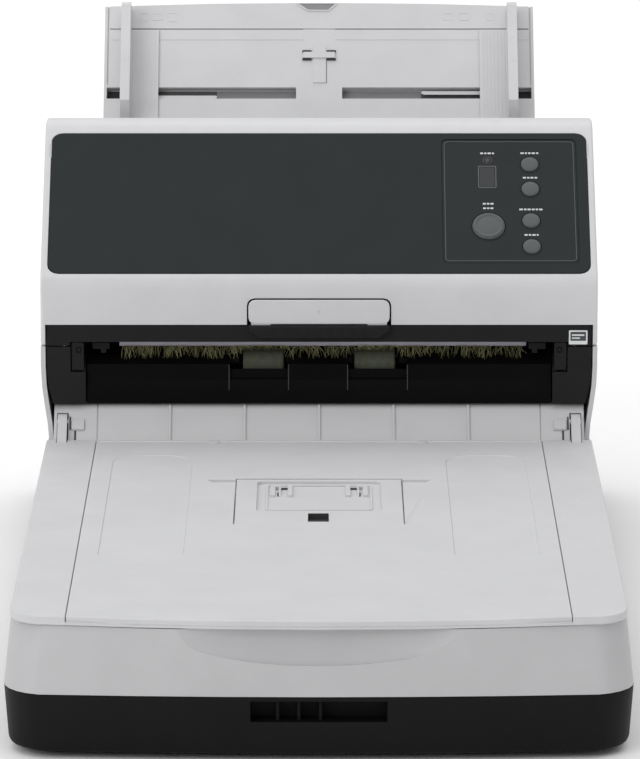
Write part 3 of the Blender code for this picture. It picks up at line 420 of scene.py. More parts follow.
def make_finishes(look):
    """The finishes by name, from the sidebar's colours."""
    light, cover = tuple(look.shell_colour), tuple(look.cover_colour)
    dark, panel, key = tuple(look.dark_colour), tuple(look.panel_colour), tuple(look.key_colour)
    gloss = look.shell_roughness
    FINISH.update({
        "light_plastic": moulded("light_plastic_grain", light, gloss),
        "cover_plastic": moulded("cover_plastic_grain", cover, gloss + 0.02, 0.5, 0.01),
        # chute, hood and frame are the shell's one plastic with painted light: lighter on the chute (x1.12)
        # and hood (x1.15), darker on the frame (x0.89), for how the light falls on them
        "chute_plastic": moulded("chute_plastic_grain", scaled(light, 1.12), gloss + 0.03, 0.5, 0.012),
        "hood_plastic": moulded("hood_plastic_grain", scaled(light, 1.15), gloss),
        "frame_plastic": moulded("frame_plastic_grain", scaled(light, 0.89), gloss + 0.01),
        "dark_plastic": moulded("dark_plastic_grain", dark, 0.52, 0.6, 0.02, 0.1, 0.2),
        "pan_plastic": moulded("pan_plastic_grain", scaled(dark, 0.6), 0.55, 0.7, 0.03, 0.12, 0.14),
        "guide_black": moulded("guide_black_satin", (0.0028, 0.0028, 0.003), 0.45, 0.6, 0.008, 0.1, 0.06),
        "panel_plastic": moulded("panel_plastic_satin", panel, 0.42, 0.35, 0.006, 0.05, 0.12),
        "operator_plastic": moulded("operator_plastic_satin", scaled(panel, 1.05), 0.4, 0.35, 0.006, 0.05,
                                    0.12),
        "key_plastic": moulded("key_plastic_soft", key, 0.4, 0.3, 0.008, 0.05, 0.25),
        "white_foam": moulded("pad_sheet", (0.82, 0.82, 0.81), 0.6, 1.1, 0.05, 0.02, 0.3),
        "rubber": rubbery("rubber_dark", (0.035, 0.035, 0.035), 0.75, 0.7, 0.05, "X"),
        "belt_rubber": rubbery("belt_rubber_toothed", (0.03, 0.03, 0.03), 0.7, 1.0, 0.12, "Y"),
        "grey_rubber": rubbery("tyre_rubber", (0.075, 0.082, 0.058), 0.8, 0.9, 0.06, "X"),
        "steel": brushed("steel_drawn", (0.6, 0.6, 0.62), 0.3),
        "strip": print_and_painted_light("brush_strip_pale", (0.5, 0.48, 0.55), 0.4),
        "bristle": bristle("brush_fibre_olive", (0.05, 0.05, 0.03), (0.62, 0.6, 0.3)),
        "glass": clear("bed_glass_clear", (0.93, 0.97, 0.95)),
        "board_green": circuit("board_mask", (0.015, 0.12, 0.045)),
        "window": lacquered("display_smoked", (0.018, 0.021, 0.022), 0.5, 0.0),
        "lens": lacquered("lamp_lens_black", (0.006, 0.006, 0.007), 0.15),
        # seam: a near black used as painted shade in gaps, slits, slots and the stopper's hollows
        "seam": print_and_painted_light("seam_shadow", (0.03, 0.03, 0.032), 0.7),
        # seam grey: the chute's real seams, and painted shade on its inner slot floors and in its finger
        # recess
        "soft_seam": print_and_painted_light("seam_grey", (0.27, 0.27, 0.28), 0.6),
        # slot grey: painted shade on the middle of the chute's slot floors
        "slot": print_and_painted_light("slot_grey", (0.09, 0.09, 0.093), 0.6),
        "mark": print_and_painted_light("mark_pale", (0.62, 0.63, 0.64), 0.5),
        # outline grey: the display's rim, and a painted highlight along the operator panel's edge
        "line": print_and_painted_light("outline_grey_and_rim_highlight", (0.085, 0.092, 0.095), 0.4),
        "label": print_and_painted_light("label_white", (0.75, 0.76, 0.76), 0.45),
        "label_ink": print_and_painted_light("label_ink_grey", (0.05, 0.06, 0.07), 0.5),
        "olive": print_and_painted_light("guide_edge_olive", (0.028, 0.028, 0.02), 0.5),
        "lamp_white": lacquered("lamp_diffuser", (0.8, 0.82, 0.8), 0.3, 0.2),
    })


NODE_FINISH = {
    "top_cover": "hood_plastic", "cover_open_lever": "hood_plastic", "bed_frame": "frame_plastic",
    "base_pan": "pan_plastic", "paper_chute": "chute_plastic", "side_guide_left": "chute_plastic",
    "side_guide_right": "chute_plastic", "lower_guide": "guide_black", "static_brush": "strip",
    "display_window": "window", "check_lamp": "lens", "operator_panel": "operator_plastic",
    "carriage_belt": "belt_rubber", "drive_belt": "belt_rubber", "eject_shaft": "guide_black",
}
SLOT_FINISH = {"window_black": "window"}

# how far the edges are rounded, in millimetres
EDGE = {
    "base_pan": 0.8, "bed_frame": 0.9, "document_cover": 0.45, "stacker_panel": 0.25, "stacker_stopper": 0.3,
    "feeder_stand": 0.4, "side_cover_left": 0.6, "side_cover_right": 0.6, "rear_cover": 0.6, "top_cover": 0.5,
    "front_panel": 0.0, "operator_panel": 0.12, "hood_frame": 0.3, "side_frame_left": 0.3,
    "side_frame_right": 0.3, "lower_guide": 0.25, "paper_chute": 0.0, "chute_extension": 0.35,
    "extension_tip": 0.2, "side_guide_left": 0.4, "side_guide_right": 0.4, "cover_open_lever": 0.3,
    "lever_grip": 0.3, "cover_hinge_left": 0.4, "cover_hinge_right": 0.4, "scan_carriage": 0.5,
    "power_inlet": 0.4, "static_brush": 0.1, "display_window": 0.12, "check_lamp": 0.3, "latch_shaft": 0.2,
    "foot_front_left": 0.4, "foot_front_right": 0.4, "foot_rear_left": 0.4, "foot_rear_right": 0.4,
    "scan_key": 0.2, "function_key": 0.15, "send_key": 0.15, "manual_key": 0.15, "power_key": 0.15,
}
EDGE_DEFAULT = 0.15
SMOOTH_ANGLE = math.radians(48)


def smooth_by_angle():
    """A node group that drops stored normals and keeps only the steeper edges sharp."""
    group = bpy.data.node_groups.new("smooth_by_angle", "GeometryNodeTree")
    group.interface.new_socket("Geometry", in_out="INPUT", socket_type="NodeSocketGeometry")
    group.interface.new_socket("Geometry", in_out="OUTPUT", socket_type="NodeSocketGeometry")
    nodes, links = group.nodes, group.links
    source, target = nodes.new("NodeGroupInput"), nodes.new("NodeGroupOutput")
    drop = nodes.new("GeometryNodeRemoveAttribute")
    drop.inputs["Name"].default_value = "custom_normal"
    faces = nodes.new("GeometryNodeSetShadeSmooth")
    faces.domain = "FACE"
    edges = nodes.new("GeometryNodeSetShadeSmooth")
    edges.domain = "EDGE"
    edges.inputs["Shade Smooth"].default_value = False
    bend = nodes.new("GeometryNodeInputMeshEdgeAngle")
    steep = nodes.new("FunctionNodeCompare")
    steep.data_type = "FLOAT"
    steep.operation = "GREATER_THAN"
    steep.inputs[1].default_value = SMOOTH_ANGLE
    links.new(source.outputs[0], drop.inputs["Geometry"])
    links.new(drop.outputs["Geometry"], faces.inputs["Geometry"])
    links.new(faces.outputs["Geometry"], edges.inputs["Geometry"])
    links.new(bend.outputs["Unsigned Angle"], steep.inputs[0])
    links.new(steep.outputs["Result"], edges.inputs["Selection"])
    links.new(edges.outputs["Geometry"], target.inputs[0])
    return group


def round_edges(node, width, group):
    """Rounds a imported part's edges without touching its mesh."""
    weld = node.modifiers.new("weld", "WELD")
    weld.merge_threshold = 0.00001
    if width:
        bevel = node.modifiers.new("edge", "BEVEL")
        bevel.width = width * MM
        bevel.segments = 2
        bevel.limit_method = "ANGLE"
        bevel.angle_limit = math.radians(38)
        bevel.use_clamp_overlap = True
        bevel.miter_outer = "MITER_ARC"
    smooth = node.modifiers.new("smooth", "NODES")
    smooth.node_group = group
    weigh = node.modifiers.new("weigh", "WEIGHTED_NORMAL")
    weigh.keep_sharp = True


# ---------------------------------------------------------------- settings shown in the sidebar

class ScannerFinishSettings(bpy.types.PropertyGroup):
    shell_colour: FloatVectorProperty(name="Shell", description="Colour of the light mouldings",
                                      subtype="COLOR", size=3, min=0, max=1, default=(0.56, 0.56, 0.57))
    cover_colour: FloatVectorProperty(name="Cover", description="Colour of the document cover",
                                      subtype="COLOR", size=3, min=0, max=1, default=(0.585, 0.585, 0.597))
    dark_colour: FloatVectorProperty(name="Dark parts", description="Colour of the pan and the dark frames",
                                     subtype="COLOR", size=3, min=0, max=1, default=(0.0095, 0.0095, 0.0097))
    panel_colour: FloatVectorProperty(name="Front panel", description="Colour of the slanted front panel",
                                      subtype="COLOR", size=3, min=0, max=1, default=(0.0215, 0.0262, 0.0268))
    key_colour: FloatVectorProperty(name="Keys", description="Colour of the round keys", subtype="COLOR",
                                    size=3, min=0, max=1, default=(0.1, 0.108, 0.11))
    shell_roughness: FloatProperty(name="Shell roughness", description="Roughness of the light mouldings",
                                   min=0.1, max=0.95, default=0.5, subtype="FACTOR")
    edge_scale: FloatProperty(name="Edge rounding", description="Scales the rounding of every moulded edge",
                              min=0.0, max=2.0, default=1.0)


class ScannerDetailSettings(bpy.types.PropertyGroup):
    fibres: IntProperty(name="Brush fibres", description="Number of fibres in the discharge brush", min=50,
                        max=1500, default=620)
    fibre_radius: FloatProperty(name="Fibre radius", description="Radius of one fibre, in millimetres",
                                min=0.02, max=0.5, default=0.13)
    guide_ribs: IntProperty(name="Guide ribs", description="Fine ribs on each side guide's plate", min=0,
                            max=20, default=7)
    screw_radius: FloatProperty(name="Screw head", description="Radius of a screw head, in millimetres",
                                min=1.0, max=6.0, default=3.0)


class ScannerStageSettings(bpy.types.PropertyGroup):
    lens: FloatProperty(name="Lens", description="Focal length", min=20, max=500, default=268.0,
                        subtype="DISTANCE_CAMERA")
    distance: FloatProperty(name="Distance", description="From the middle of the scanner to the camera, "
                            "along the floor", min=0.5, max=10, default=2.8654, unit="LENGTH")
    height: FloatProperty(name="Height", description="Height of the camera", min=0, max=5, default=0.7324,
                          unit="LENGTH")
    tilt: FloatProperty(name="Tilt", description="Angle of the view below the horizontal",
                        min=0, max=math.radians(90), default=math.radians(12), subtype="ANGLE")
    room_light: FloatProperty(name="Room light", description="Brightness of the surroundings", min=0, max=3,
                              default=0.86)
    top_light: FloatProperty(name="Top light", description="Power of the soft light overhead, in watts",
                             min=0, max=500, default=10)
    front_light: FloatProperty(name="Front light", description="Power of the soft light in front, in watts",
                               min=0, max=500, default=33)
    back_light: FloatProperty(name="Back light",
                              description="Power of the light on the floor behind, in watts",
                              min=0, max=500, default=34)


# ---------------------------------------------------------------- operators

class ScannerOperator:
    bl_options = {"REGISTER"}


class SCANNER_OT_mouldings(ScannerOperator, bpy.types.Operator):
    """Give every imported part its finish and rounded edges"""
    bl_idname = "scanner.mouldings"
    bl_label = "Mouldings"

    def execute(self, context):
        make_finishes(context.scene.scanner_finish)
        group = smooth_by_angle()
        for name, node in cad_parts.items():
            slot = node.material_slots[0].material.name.split(".")[0]
            finish = NODE_FINISH.get(name, SLOT_FINISH.get(slot, slot))
            if finish not in FINISH:
                raise RuntimeError("no finish for %s, whose slot is %s" % (name, slot))
            node.material_slots[0].material = FINISH[finish]
            width = EDGE.get(name, EDGE_DEFAULT) * context.scene.scanner_finish.edge_scale
            round_edges(node, width, group)
        return {"FINISHED"}


class SCANNER_OT_brush(ScannerOperator, bpy.types.Operator):
    """Hang the discharge brush's fibres across the sheet exit"""
    bl_idname = "scanner.brush"
    bl_label = "Brush fibres"

    def execute(self, context):
        detail = context.scene.scanner_detail
        draw = random.Random(11)
        shape = bmesh.new()
        for _ in range(detail.fibres):
            x = draw.uniform(-106.5, 110.5)
            lean = draw.gauss(0.0, 2.6)
            reach = draw.uniform(0.45, 1.0)
            root = at(x, draw.uniform(419.4, 420.6), draw.uniform(114.4, 115.0))
            over_tyre = 17.5 < abs(x + lean * 0.5) < 42.5
            low = ((417.6, 112.3) if over_tyre
                   else (412.2 + draw.uniform(0, 2.0), 107.9 + draw.uniform(0.4, 1.6)))
            tip = at(x + lean, 420 + (low[0] - 420) * reach, 114.7 + (low[1] - 114.7) * reach)
            belly = (root + tip) / 2 + Vector((lean * 0.1 * MM, -0.5 * MM, 0.7 * MM))
            add_strand(shape, [root, (root + belly) / 2 + Vector((0, -0.2 * MM, 0.2 * MM)), belly, tip],
                       detail.fibre_radius, detail.fibre_radius * 0.45)
        piece("brush_fibres", shape, FINISH["bristle"], "top_section")
        shape = bmesh.new()
        for sign in (-1, 1):
            near, far = span(sign, 113.2, 122.5)
            add_block(shape, (near, 113.6, -0.2), (far, 117.2, 1.6), facing_front(417.2))
            near, far = span(sign, 115.0, 118.0)
            add_block(shape, (near, 111.4, 0.0), (far, 113.8, 1.2), facing_front(417.2))
        piece("brush_brackets", shape, FINISH["dark_plastic"], "top_section", 0.2)
        return {"FINISHED"}


class SCANNER_OT_exit(ScannerOperator, bpy.types.Operator):
    """Edge the paper guide below the exit, and add the latch tongues at the exit's ends"""
    bl_idname = "scanner.exit"
    bl_label = "Sheet exit"

    def execute(self, context):
        shape = bmesh.new()
        edge = [(408.5, 92.6), (408.5, 93.1), (411.1, 97.7), (411.1, 106.0), (410.7, 106.0), (410.7, 97.7),
                (408.2, 93.3), (408.2, 92.6)]
        for x in (-48.6, -16.5, 15.4, 47.7):
            add_prism(shape, edge, x - 0.25, x + 0.25, SIDEWAYS)
        piece("guide_edges", shape, FINISH["olive"], "base")
        for side, sign in (("left", -1), ("right", 1)):
            shape = bmesh.new()
            low, high = span(sign, 126.8, 133.4)
            loop = rounded((low, 103.6), (high, 118.8), 1.0, 3)
            add_prism(shape, loop, 0.0, 1.6, facing_front(410.0))
            low, high = span(sign, 129.4, 132.8)
            add_block(shape, (low, 113.4, -5.6), (high, 117.4, 0.2), facing_front(410.0))
            piece("exit_tongue_" + side, shape, FINISH["dark_plastic"], "lever", 0.2)
            shape = bmesh.new()
            low, high = span(sign, 128.6, 130.6)
            add_ring(shape, rounded((low - 0.4, 113.2), (high + 0.4, 116.2), 0.6, 3),
                     rounded((low, 113.7), (high, 115.7), 0.4, 3), 1.5, 1.85, facing_front(410.0))
            piece("exit_tongue_eye_" + side, shape, FINISH["guide_black"], "lever")
        return {"FINISHED"}


class SCANNER_OT_label(ScannerOperator, bpy.types.Operator):
    """Put a small plain label on the lip over the exit"""
    bl_idname = "scanner.label"
    bl_label = "Plain label"

    def execute(self, context):
        face = facing_front(407.6)
        shape = bmesh.new()
        add_prism(shape, rounded((134.6, 117.9), (144.6, 125.6), 0.5, 3), 0.02, 0.16, face)
        piece("lip_label", shape, FINISH["label"], "top_section")
        shape = bmesh.new()
        add_block(shape, (135.4, 119.9, 0.15), (143.8, 124.8, 0.22), face)
        piece("lip_label_field", shape, FINISH["label_ink"], "top_section")
        shape = bmesh.new()
        add_block(shape, (136.2, 122.6, 0.21), (142.9, 123.4, 0.27), face)
        add_block(shape, (136.2, 121.0, 0.21), (140.6, 121.7, 0.27), face)
        piece("lip_label_bars", shape, FINISH["label"], "top_section")
        return {"FINISHED"}


class SCANNER_OT_operator_panel(ScannerOperator, bpy.types.Operator):
    """Edge the operator panel with a painted highlight, fill the gap around it with painted shade, and mark
    its keys with plain dashes
    """
    bl_idname = "scanner.operator_panel"
    bl_label = "Operator panel"

    def execute(self, context):
        # a lighter grey ring along the operator panel's edge: painted highlight
        shape = bmesh.new()
        add_ring(shape, rounded((68.2, 9.2), (139.0, 91.2), 2.2, 5),
                 rounded((68.55, 9.55), (138.65, 90.85), 1.9, 5), 0.08, 0.28, PANEL)
        piece("operator_rim_highlight", shape, FINISH["line"], "top_section")
        # a dark ring down in the gap around the operator panel: painted shade in the gap
        shape = bmesh.new()
        add_ring(shape, rounded((66.68, 7.68), (140.52, 92.72), 2.95, 5),
                 rounded((66.97, 7.97), (140.23, 92.43), 2.7, 5), -2.3, -0.3, PANEL)
        piece("operator_gap_shade", shape, FINISH["seam"], "top_section")
        shape = bmesh.new()
        for sign in (-1, 1):
            low, high = span(sign, 146.2, 148.0)
            add_block(shape, (low, 80.0, -2.2), (high, 91.0, -0.1), PANEL)
        piece("panel_edge_stops", shape, FINISH["light_plastic"], "top_section")
        shape = bmesh.new()
        rows = [((91.8, 83.1), (1.7, 1.3, 1.9, 1.2)), ((114.9, 83.2), (1.9, 1.2, 1.5, 2.0, 1.2)),
                ((114.9, 66.2), (1.8, 1.4, 1.7, 1.5)), ((91.8, 48.3), (1.7, 1.4, 1.8)),
                ((91.8, 45.2), (1.6, 1.3, 1.7)), ((114.9, 44.4), (2.1, 1.4, 1.8, 1.6, 1.3, 2.0)),
                ((114.9, 27.0), (1.8, 1.4, 1.9, 1.1))]
        for (x, up), dashes in rows:
            left = x - (sum(dashes) + 0.5 * (len(dashes) - 1)) / 2
            for dash in dashes:
                outline = rounded((left, up - 0.55), (left + dash, up + 0.55), 0.3, 2)
                add_prism(shape, outline, 0.08, 0.16, PANEL)
                left += dash + 0.5
        piece("key_marks", shape, FINISH["mark"], "top_section")
        shape = bmesh.new()
        for x, up, radius in KEYS.values():
            add_ring(shape, circle((x, up), radius + 1.0), circle((x, up), radius + 0.36), 0.05, 0.24, PANEL)
        piece("key_surrounds", shape, FINISH["panel_plastic"], "top_section", 0.06)
        for name, (x, up, radius) in KEYS.items():
            shape = bmesh.new()
            top = 0.9
            if name == "scan_key":
                profile = [(radius - 0.75, top - 0.1), (radius - 0.75, top + 0.1), (radius - 1.0, top + 0.42),
                           (radius - 1.6, top + 0.5), (radius - 2.1, top + 0.36), (radius - 2.35, top + 0.08),
                           (radius - 2.9, top + 0.06), (radius - 3.3, top + 0.14), (radius * 0.4, top + 0.3),
                           (0.0, top + 0.34)]
            else:
                profile = [(radius - 0.7, top - 0.1), (radius - 0.75, top + 0.08), (radius - 1.3, top + 0.26),
                           (radius * 0.45, top + 0.4), (0.0, top + 0.44)]
            add_turned(shape, profile, (x, up), PANEL, 40)
            piece(name + "_cap", shape, FINISH["key_plastic"], name, angle=50)
        shape = bmesh.new()
        x, up = 91.8, 78.2
        add_ring(shape, circle((x, up), 2.6), circle((x, up), 1.95), 0.06, 0.3, PANEL)
        piece("lamp_ring", shape, FINISH["lens"], "top_section")
        shape = bmesh.new()
        add_ring(shape, rounded((86.6, 59.0), (96.6, 74.4), 1.0, 4),
                 rounded((87.2, 59.6), (96.0, 73.8), 0.7, 4),
                 0.05, 0.26, PANEL)
        piece("display_rim", shape, FINISH["line"], "top_section")
        return {"FINISHED"}


class SCANNER_OT_lever(ScannerOperator, bpy.types.Operator):
    """Add the cover lever's stepped lower edge and its thumb mark"""
    bl_idname = "scanner.lever"
    bl_label = "Cover lever"

    def execute(self, context):
        face = facing_front(406.6)
        shape = bmesh.new()
        for sign in (-1, 1):
            low, high = span(sign, 26.0, 36.6)
            step = [(low, 129.9), (high, 129.9), (high, 129.0), (high - 1.0, 128.6), (low + 1.0, 128.6),
                    (low, 129.0)]
            add_prism(shape, step, 0.1, 1.1, face)
        piece("lever_steps", shape, FINISH["light_plastic"], "lever", 0.2)
        shape = bmesh.new()
        mark = [(-1.3, 136.9), (1.3, 136.9), (0.0, 134.7)]
        add_prism(shape, mark, 1.12, 1.32, face)
        piece("lever_mark", shape, FINISH["light_plastic"], "lever", 0.05)
        shape = bmesh.new()
        for x in (-24, -18, -12, -6, 0, 6, 12, 18, 24):
            add_block(shape, (x - 0.5, 123.2, 3.0), (x + 0.5, 127.6, 3.35), face)
        piece("lever_grip_ribs", shape, FINISH["dark_plastic"], "lever", 0.12)
        return {"FINISHED"}


# depth less height, in millimetres, on the apron's slope beside the hinges
APRON_DEPTH_LESS_HEIGHT = 326.9


class SCANNER_OT_apron(ScannerOperator, bpy.types.Operator):
    """Add the hinge blocks on the sloping apron behind the cover, and dark strips of painted shade where its
    slits are
    """
    bl_idname = "scanner.apron"
    bl_label = "Apron"

    def execute(self, context):
        for side, sign in (("left", -1), ("right", 1)):
            low, high = span(sign, 126.6, 133.4)
            shape = bmesh.new()
            block = [(398.8, 72.0), (398.8, 73.4), (400.4, 75.2), (403.6, 77.6), (403.6, 76.8)]
            add_prism(shape, block, low, high, SIDEWAYS)
            piece("hinge_step_" + side, shape, FINISH["light_plastic"], "base", 0.3)
            # dark strips on the apron: painted shade where the hinge slits are
            shape = bmesh.new()
            for near, far, front, back in ((133.9, 134.6, 399.4, 405.2), (131.0, 131.9, 394.2, 399.2)):
                low, high = span(sign, near, far)
                rise = APRON_DEPTH_LESS_HEIGHT
                slit = [(front, front - rise), (front - 0.2, front - rise + 0.2),
                        (back - 0.2, back - rise + 0.2), (back, back - rise)]
                add_prism(shape, slit, low, high, SIDEWAYS)
            piece("hinge_slit_shade_" + side, shape, FINISH["seam"], "base")
        return {"FINISHED"}


class SCANNER_OT_cover(ScannerOperator, bpy.types.Operator):
    """Add the ridge and pips at the back of the document cover, and the bead along its front lip"""
    bl_idname = "scanner.cover"
    bl_label = "Document cover"

    def execute(self, context):
        shape = bmesh.new()
        ridge = [(386.6, 68.5), (387.1, 69.0), (387.9, 69.1), (388.6, 68.9), (388.9, 68.5)]
        add_prism(shape, ridge, -118.9, 118.9, SIDEWAYS)
        piece("cover_ridge", shape, FINISH["cover_plastic"], "cover", 0.12)
        shape = bmesh.new()
        for x in (-56.0, 55.5):
            add_turned(shape, [(2.8, 68.5), (2.8, 68.9), (2.2, 69.3), (1.0, 69.5), (0.0, 69.55)], (x, 385.0),
                       FLAT, 24)
        piece("cover_pips", shape, FINISH["cover_plastic"], "cover")
        shape = bmesh.new()
        bow = [(x, 10.7 * (x / 133.6) ** 2) for x in (-119.4, -88.2, -44.1, 0.0, 44.1, 88.2, 119.4)]
        loop = [(x, d + 0.25) for x, d in bow] + [(x, d + 3.0) for x, d in bow[::-1]]
        add_prism(shape, loop, 65.7, 66.4, FLAT)
        piece("cover_lip_bead", shape, FINISH["cover_plastic"], "cover")
        return {"FINISHED"}


class SCANNER_OT_pad(ScannerOperator, bpy.types.Operator):
    """Replace the pad under the cover with a sealed white pad"""
    bl_idname = "scanner.pad"
    bl_label = "Cover pad"

    def execute(self, context):
        low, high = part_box("cover_pad")
        steps = [0, 0.5, 1.1, 2.0, 3.2, 4.4, 5.0, 5.6, 6.2, 7.4, 10, 16, 30]
        width, depth = (high.x - low.x) / MM, (high.y - low.y) / MM

        def lines(length):
            middle = [length * share for share in (0.25, 0.375, 0.5, 0.625, 0.75)]
            return steps + middle + [length - s for s in steps[::-1]]

        across, along = lines(width), lines(depth)
        shape = bmesh.new()
        under, over = {}, {}
        for row, v in enumerate(along):
            for column, u in enumerate(across):
                inside = min(u, width - u, v, depth - v)
                lift = 0.95 * math.exp(-inside / 1.3) + 0.4 * math.exp(-((inside - 5.3) / 0.7) ** 2)
                crown = 0.22 * (1 - min(1.0, inside / 60)) ** 2
                spot = Vector((low.x + u * MM, low.y + v * MM, low.z + min(lift + crown, 1.5) * MM))
                under[row, column] = shape.verts.new(spot)
                over[row, column] = shape.verts.new(Vector((spot.x, spot.y, high.z - 0.05 * MM)))
        rows, columns = len(along), len(across)
        for row in range(rows - 1):
            for column in range(columns - 1):
                for layer in (under, over):
                    shape.faces.new([layer[row + a, column + b] for a, b in ((0, 0), (0, 1), (1, 1), (1, 0))])
        rim = [(0, c) for c in range(columns)] + [(r, columns - 1) for r in range(1, rows)]
        rim += [(rows - 1, c) for c in range(columns - 2, -1, -1)] + [(r, 0) for r in range(rows - 2, 0, -1)]
        for here, there in zip(rim, rim[1:] + rim[:1]):
            shape.faces.new((under[here], under[there], over[there], over[here]))
        pad = piece("pad_sheet", shape, FINISH["white_foam"], "cover")
        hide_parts("cover_pad")
        return {"FINISHED"}


class SCANNER_OT_stopper(ScannerOperator, bpy.types.Operator):
    """Add the hooks in the stacker stopper's well, and dark plates of painted shade in its holes"""
    bl_idname = "scanner.stopper"
    bl_label = "Stacker stopper"

    def execute(self, context):
        holes, hooks = bmesh.new(), bmesh.new()
        for sign in (-1, 1):
            # dark plates at the floors of the small holes: painted shade
            low, high = span(sign, 16.2, 19.6)
            add_block(holes, (low, 282.5, 66.42), (high, 287.5, 66.56))
            low, high = span(sign, 20.4, 21.6)
            add_block(holes, (low, 268.0, 66.42), (high, 276.0, 66.56))
            for near in (19.8, 22.6):
                low, high = span(sign, near, near + 1.0)
                hook = [(268, 66.5), (284, 66.5), (285.5, 67.6), (284, 68.1), (272, 67.6)]
                add_prism(hooks, hook, low, high, SIDEWAYS)
            low, high = span(sign, 19.8, 23.6)
            add_block(hooks, (low, 284.0, 66.5), (high, 285.6, 68.1))
        # a dark floor and rear-wall liner in the large hole: painted shade, so that it reads deep
        add_block(holes, (-5.4, 205.7, 65.1), (4.8, 222.8, 65.3))
        add_block(holes, (-5.4, 222.3, 65.4), (4.8, 222.85, 68.2))
        piece("stopper_hole_shade", holes, FINISH["seam"], "stopper")
        piece("stopper_hooks", hooks, FINISH["cover_plastic"], "stopper", 0.15)
        shape = bmesh.new()
        add_ring(shape, rounded((-27.5, 236), (27.5, 292), 2.5), rounded((-26.3, 237.2), (26.3, 290.8), 1.6),
                 66.45, 66.95, FLAT)
        piece("stopper_inner_rim", shape, FINISH["cover_plastic"], "stopper", 0.15)
        return {"FINISHED"}


class SCANNER_OT_chute(ScannerOperator, bpy.types.Operator):
    """Add the paper chute's clip, finger recess, seams and raised outlines, with painted shade in the clip's
    slots, the finger recess and the slot floors
    """
    bl_idname = "scanner.chute"
    bl_label = "Paper chute"

    def execute(self, context):
        shape = bmesh.new()
        # dark bars beside the clip: painted shade where its slots are
        for sign in (-1, 1):
            for up in (35.5, 40.5):
                low, high = span(sign, 4.2, 9.4)
                add_prism(shape, rounded((low, up - 0.5), (high, up + 0.5), 0.3, 2), 0.02, 1.1, CHUTE)
        piece("clip_slot_shade", shape, FINISH["seam"], "base")
        # grey plates under the chute's slots: painted shade, darker towards the outer ends
        for name, near, far, finish in (("inner", 13.0, 57.0, "soft_seam"), ("middle", 57.0, 111.0, "slot"),
                                        ("outer", 111.0, 118.2, "seam")):
            shape = bmesh.new()
            for sign in (-1, 1):
                low, high = span(sign, near, far)
                add_block(shape, (low, 11.3, -5.25), (high, 18.1, -5.05), CHUTE)
            piece("slot_floor_shade_" + name, shape, FINISH[finish], "base")
        shape = bmesh.new()
        recess = [(-12.6, 70.6), (-6.4, 66.0), (5.4, 66.0), (10.4, 70.6)]
        inner = [(-11.4, 70.7), (-6.0, 66.7), (5.0, 66.7), (9.2, 70.7)]
        add_ring(shape, recess, inner, -0.05, 0.6, CHUTE)
        piece("grip_lip", shape, FINISH["chute_plastic"], "base", 0.15)
        # a darker plate inside the lip: painted shade in the finger recess
        shape = bmesh.new()
        add_prism(shape, inner, 0.02, 0.12, CHUTE)
        piece("grip_recess_shade", shape, FINISH["soft_seam"], "base")
        shape = bmesh.new()
        for x, up, half, tall in ((-98, 62.5, 2.6, 2.6), (-90.5, 62.5, 3.2, 2.2), (-82, 62.3, 3.0, 2.8),
                                  (72, 62.6, 2.6, 2.2), (81, 62.6, 3.0, 2.4), (96, 62.4, 2.4, 2.4)):
            add_ring(shape, rounded((x - half, up - tall), (x + half, up + tall), 0.9, 3),
                     rounded((x - half + 0.4, up - tall + 0.4), (x + half - 0.4, up + tall - 0.4), 0.6, 3),
                     -0.02, 0.16, CHUTE)
        piece("chute_outlines", shape, FINISH["chute_plastic"], "base")
        shape = bmesh.new()
        for low, high in ((-116.6, -9.0), (9.0, 116.6)):
            add_block(shape, (low, 48.0, -0.02), (high, 48.35, 0.22), CHUTE)
        piece("chute_ledges", shape, FINISH["chute_plastic"], "base")
        shape = bmesh.new()
        for low, high in ((-116.8, -9.0), (9.0, 116.8)):
            add_block(shape, (low, 54.45, -0.7), (high, 55.15, -0.45), CHUTE)
        add_block(shape, (3.85, 21.0, 0.0), (4.35, 35.0, 0.12), CHUTE)
        piece("chute_seams", shape, FINISH["soft_seam"], "base")
        return {"FINISHED"}


class SCANNER_OT_chute_back(ScannerOperator, bpy.types.Operator):
    """Add the stiffening ribs on the back of the paper chute"""
    bl_idname = "scanner.chute_back"
    bl_label = "Chute back"

    def execute(self, context):
        shape = bmesh.new()
        for x in (-100, -70, 70, 100):
            add_block(shape, (x - 0.8, -20, -13.0), (x + 0.8, 62, -11.9), CHUTE)
        for up in (-20, 20, 61):
            for low, high in ((-112, -60), (60, 112)):
                add_block(shape, (low, up - 0.8, -13.0), (high, up + 0.8, -11.9), CHUTE)
        piece("chute_back_ribs", shape, FINISH["chute_plastic"], "base", 0.2)
        return {"FINISHED"}


